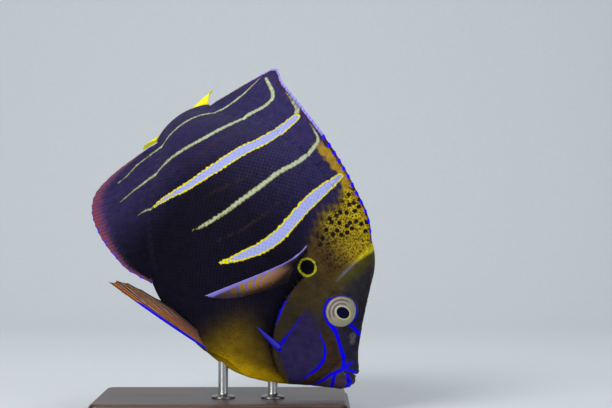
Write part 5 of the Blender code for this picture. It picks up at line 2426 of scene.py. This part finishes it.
@dataclass
class Studio:
    """Floor, backdrop, soft lights and the camera at the photograph's angle.

    Attributes:
        lamps: name, place, size, power and colour of each.
    """

    depth: float = 3.0
    half_width: float = 3.5
    wall_at: float = 1.1
    wall_height: float = 3.0
    bend: float = 0.5
    lens: float = 104.834
    distance: float = 900.0
    right: float = -25.2
    up: float = 90.395
    aim: tuple[float, float, float] = (0.0, 0.0, 0.09)
    lamps: tuple[tuple[str, tuple[float, float, float], float, float, str], ...] = (
        ("key", (-0.7, -0.9, 1.1), 0.7, 14.0, "#ffffff"),
        ("fill", (1.1, -1.0, 0.5), 0.9, 4.4, "#eef2ff"),
        ("top", (0.1, 0.25, 1.3), 0.8, 7.5, "#ffffff"),
        ("low", (-0.55, -0.9, 0.12), 0.4, 3.0, "#fff6e8"),
    )
    air: str = "#dfe6ee"
    air_strength: float = 0.22

    def sweep(self, material: Material) -> None:
        """The floor that curves up into a backdrop.

        Args:
            material: its paper.
        """
        steps = 24
        profile = [(-self.depth, 0.0), (self.wall_at - self.bend, 0.0)]
        for i in range(1, steps + 1):
            angle = math.pi / 2 * i / steps
            back, up = self.bend * math.sin(angle), self.bend * (1 - math.cos(angle))
            profile.append((self.wall_at - self.bend + back, up))
        profile.append((self.wall_at, self.wall_height))
        xs = np.linspace(-self.half_width, self.half_width, 15)
        points = np.array([(x, y, z) for y, z in profile for x in xs])
        quads = sheet_quads(np.arange(len(points)).reshape(len(profile), len(xs)).T)
        add_object("studio_sweep", build_mesh("studio_sweep", points, [quads]), material)

    def light(self, name: str, at: tuple[float, float, float], size: float, power: float, tint: str) -> None:
        """A soft square lamp aimed at the fish.

        Args:
            name: its name.
            at: its place.
            size: its side.
            power: watts.
            tint: its colour.
        """
        lamp = bpy.data.lights.new(name, "AREA")
        lamp.energy = power
        lamp.size = size
        lamp.color = srgb(tint)
        obj = bpy.data.objects.new(name, lamp)
        obj.location = at
        obj.rotation_euler = (Vector(at) - Vector(self.aim)).to_track_quat("Z", "Y").to_euler()
        bpy.context.scene.collection.objects.link(obj)

    def camera(self) -> None:
        """A level camera that frames the fish as the photograph does."""
        data = bpy.data.cameras.new("photo_camera")
        data.sensor_width = 36.0
        data.lens = self.lens
        data.clip_start = 0.01
        obj = bpy.data.objects.new("photo_camera", data)
        x, y, z = FISH.snout_at
        obj.location = Vector((x + self.right, y - self.distance, z + self.up)) * MM
        obj.rotation_euler = (math.pi / 2, 0, 0)
        bpy.context.scene.collection.objects.link(obj)
        bpy.context.scene.camera = obj

    def world(self) -> None:
        """A dim even surround."""
        world = bpy.data.worlds.new("studio_air")
        bpy.context.scene.world = world
        world.use_nodes = True
        shader = world.node_tree.nodes["Background"]
        shader.inputs["Color"].default_value = rgba(self.air)
        shader.inputs["Strength"].default_value = self.air_strength

    def build(self, material: Material) -> None:
        """The whole studio.

        Args:
            material: the backdrop's paper.
        """
        self.sweep(material)
        self.world()
        self.camera()
        for lamp in self.lamps:
            self.light(*lamp)
        bpy.context.scene.view_settings.view_transform = "Standard"


def main() -> None:
    """Build the studio and every piece of the model, in order."""
    logging.basicConfig(level=logging.INFO, format="%(message)s")
    LOG.info("%d nodes in the frame", len(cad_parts))
    Studio().build(StudioPaper().build())
    BodySkin().build(FishSkin().build())
    coat, horn = ScaleCoat(), ScaleHorn().build()
    coat.build(horn)
    dorsal = RayedFin("dorsal_rays", "dorsal_fin", "dark_fin", 30, 13, DORSAL, edge_mm=1.9, lilac_from=0.42)
    anal = RayedFin("anal_rays", "anal_fin", "dark_fin", 20, 3, ANAL, edge_mm=0.7, band_mm=9.0,
                    lilac_from=0.5)
    tail = RayedFin("tail_rays", "tail_fin", "yellow_fin", 17, 0, TAIL, rows=40, lilac_from=-1.0)
    dorsal.build(DorsalMembrane().build())
    anal.build(AnalMembrane().build())
    tail.build(TailMembrane().build())
    violet, brown = PectoralMembrane().build(), PelvicMembrane().build()
    iris, bone = Iris().build(), SpineBone().build()
    for side in Side:
        coat.fin_piece(dorsal, FIN_SCALES_REACH, side, horn)
        coat.fin_piece(anal, FIN_SCALES_REACH, side, horn)
        shape = PairedFin(PECTORAL_ROOT, PECTORAL_MARGIN, PECTORAL_BOW, side, PECTORAL_BEND)
        pectoral = RayedFin(f"pectoral_rays_{side.label}", f"pectoral_fin_{side.label}", "violet_fin", 14, 1,
                            shape, ray_mm=(0.9, 0.4), web_mm=(0.45, 0.18), ray_share=(0.22, 0.2), peel=0.77,
                            fork_from=0.94, columns_per_ray=16, lilac_from=-1.0)
        pectoral.build(violet)
        shape = PairedFin(PELVIC_ROOT, PELVIC_MARGIN, PELVIC_BOW, side)
        pelvic = RayedFin(f"pelvic_rays_{side.label}", f"pelvic_fin_{side.label}", "brown_fin", 6, 1, shape,
                          ray_mm=(1.0, 0.45), web_mm=(0.45, 0.2), ray_share=(0.24, 0.2), spine_notch=0.03,
                          ray_notch=0.03, columns_per_ray=24, band_mm=3.5)
        pelvic.build(brown)
        Eye(side).build(iris)
        CheekSpine(side).build(bone)
    StandBase().build(StainedWood().build())
    steel = BrushedSteel().build()
    StandRod("rod_front", "stand_rod_front").build(steel)
    StandRod("rod_rear", "stand_rod_rear").build(steel)


if __name__ == "__main__":
    main()
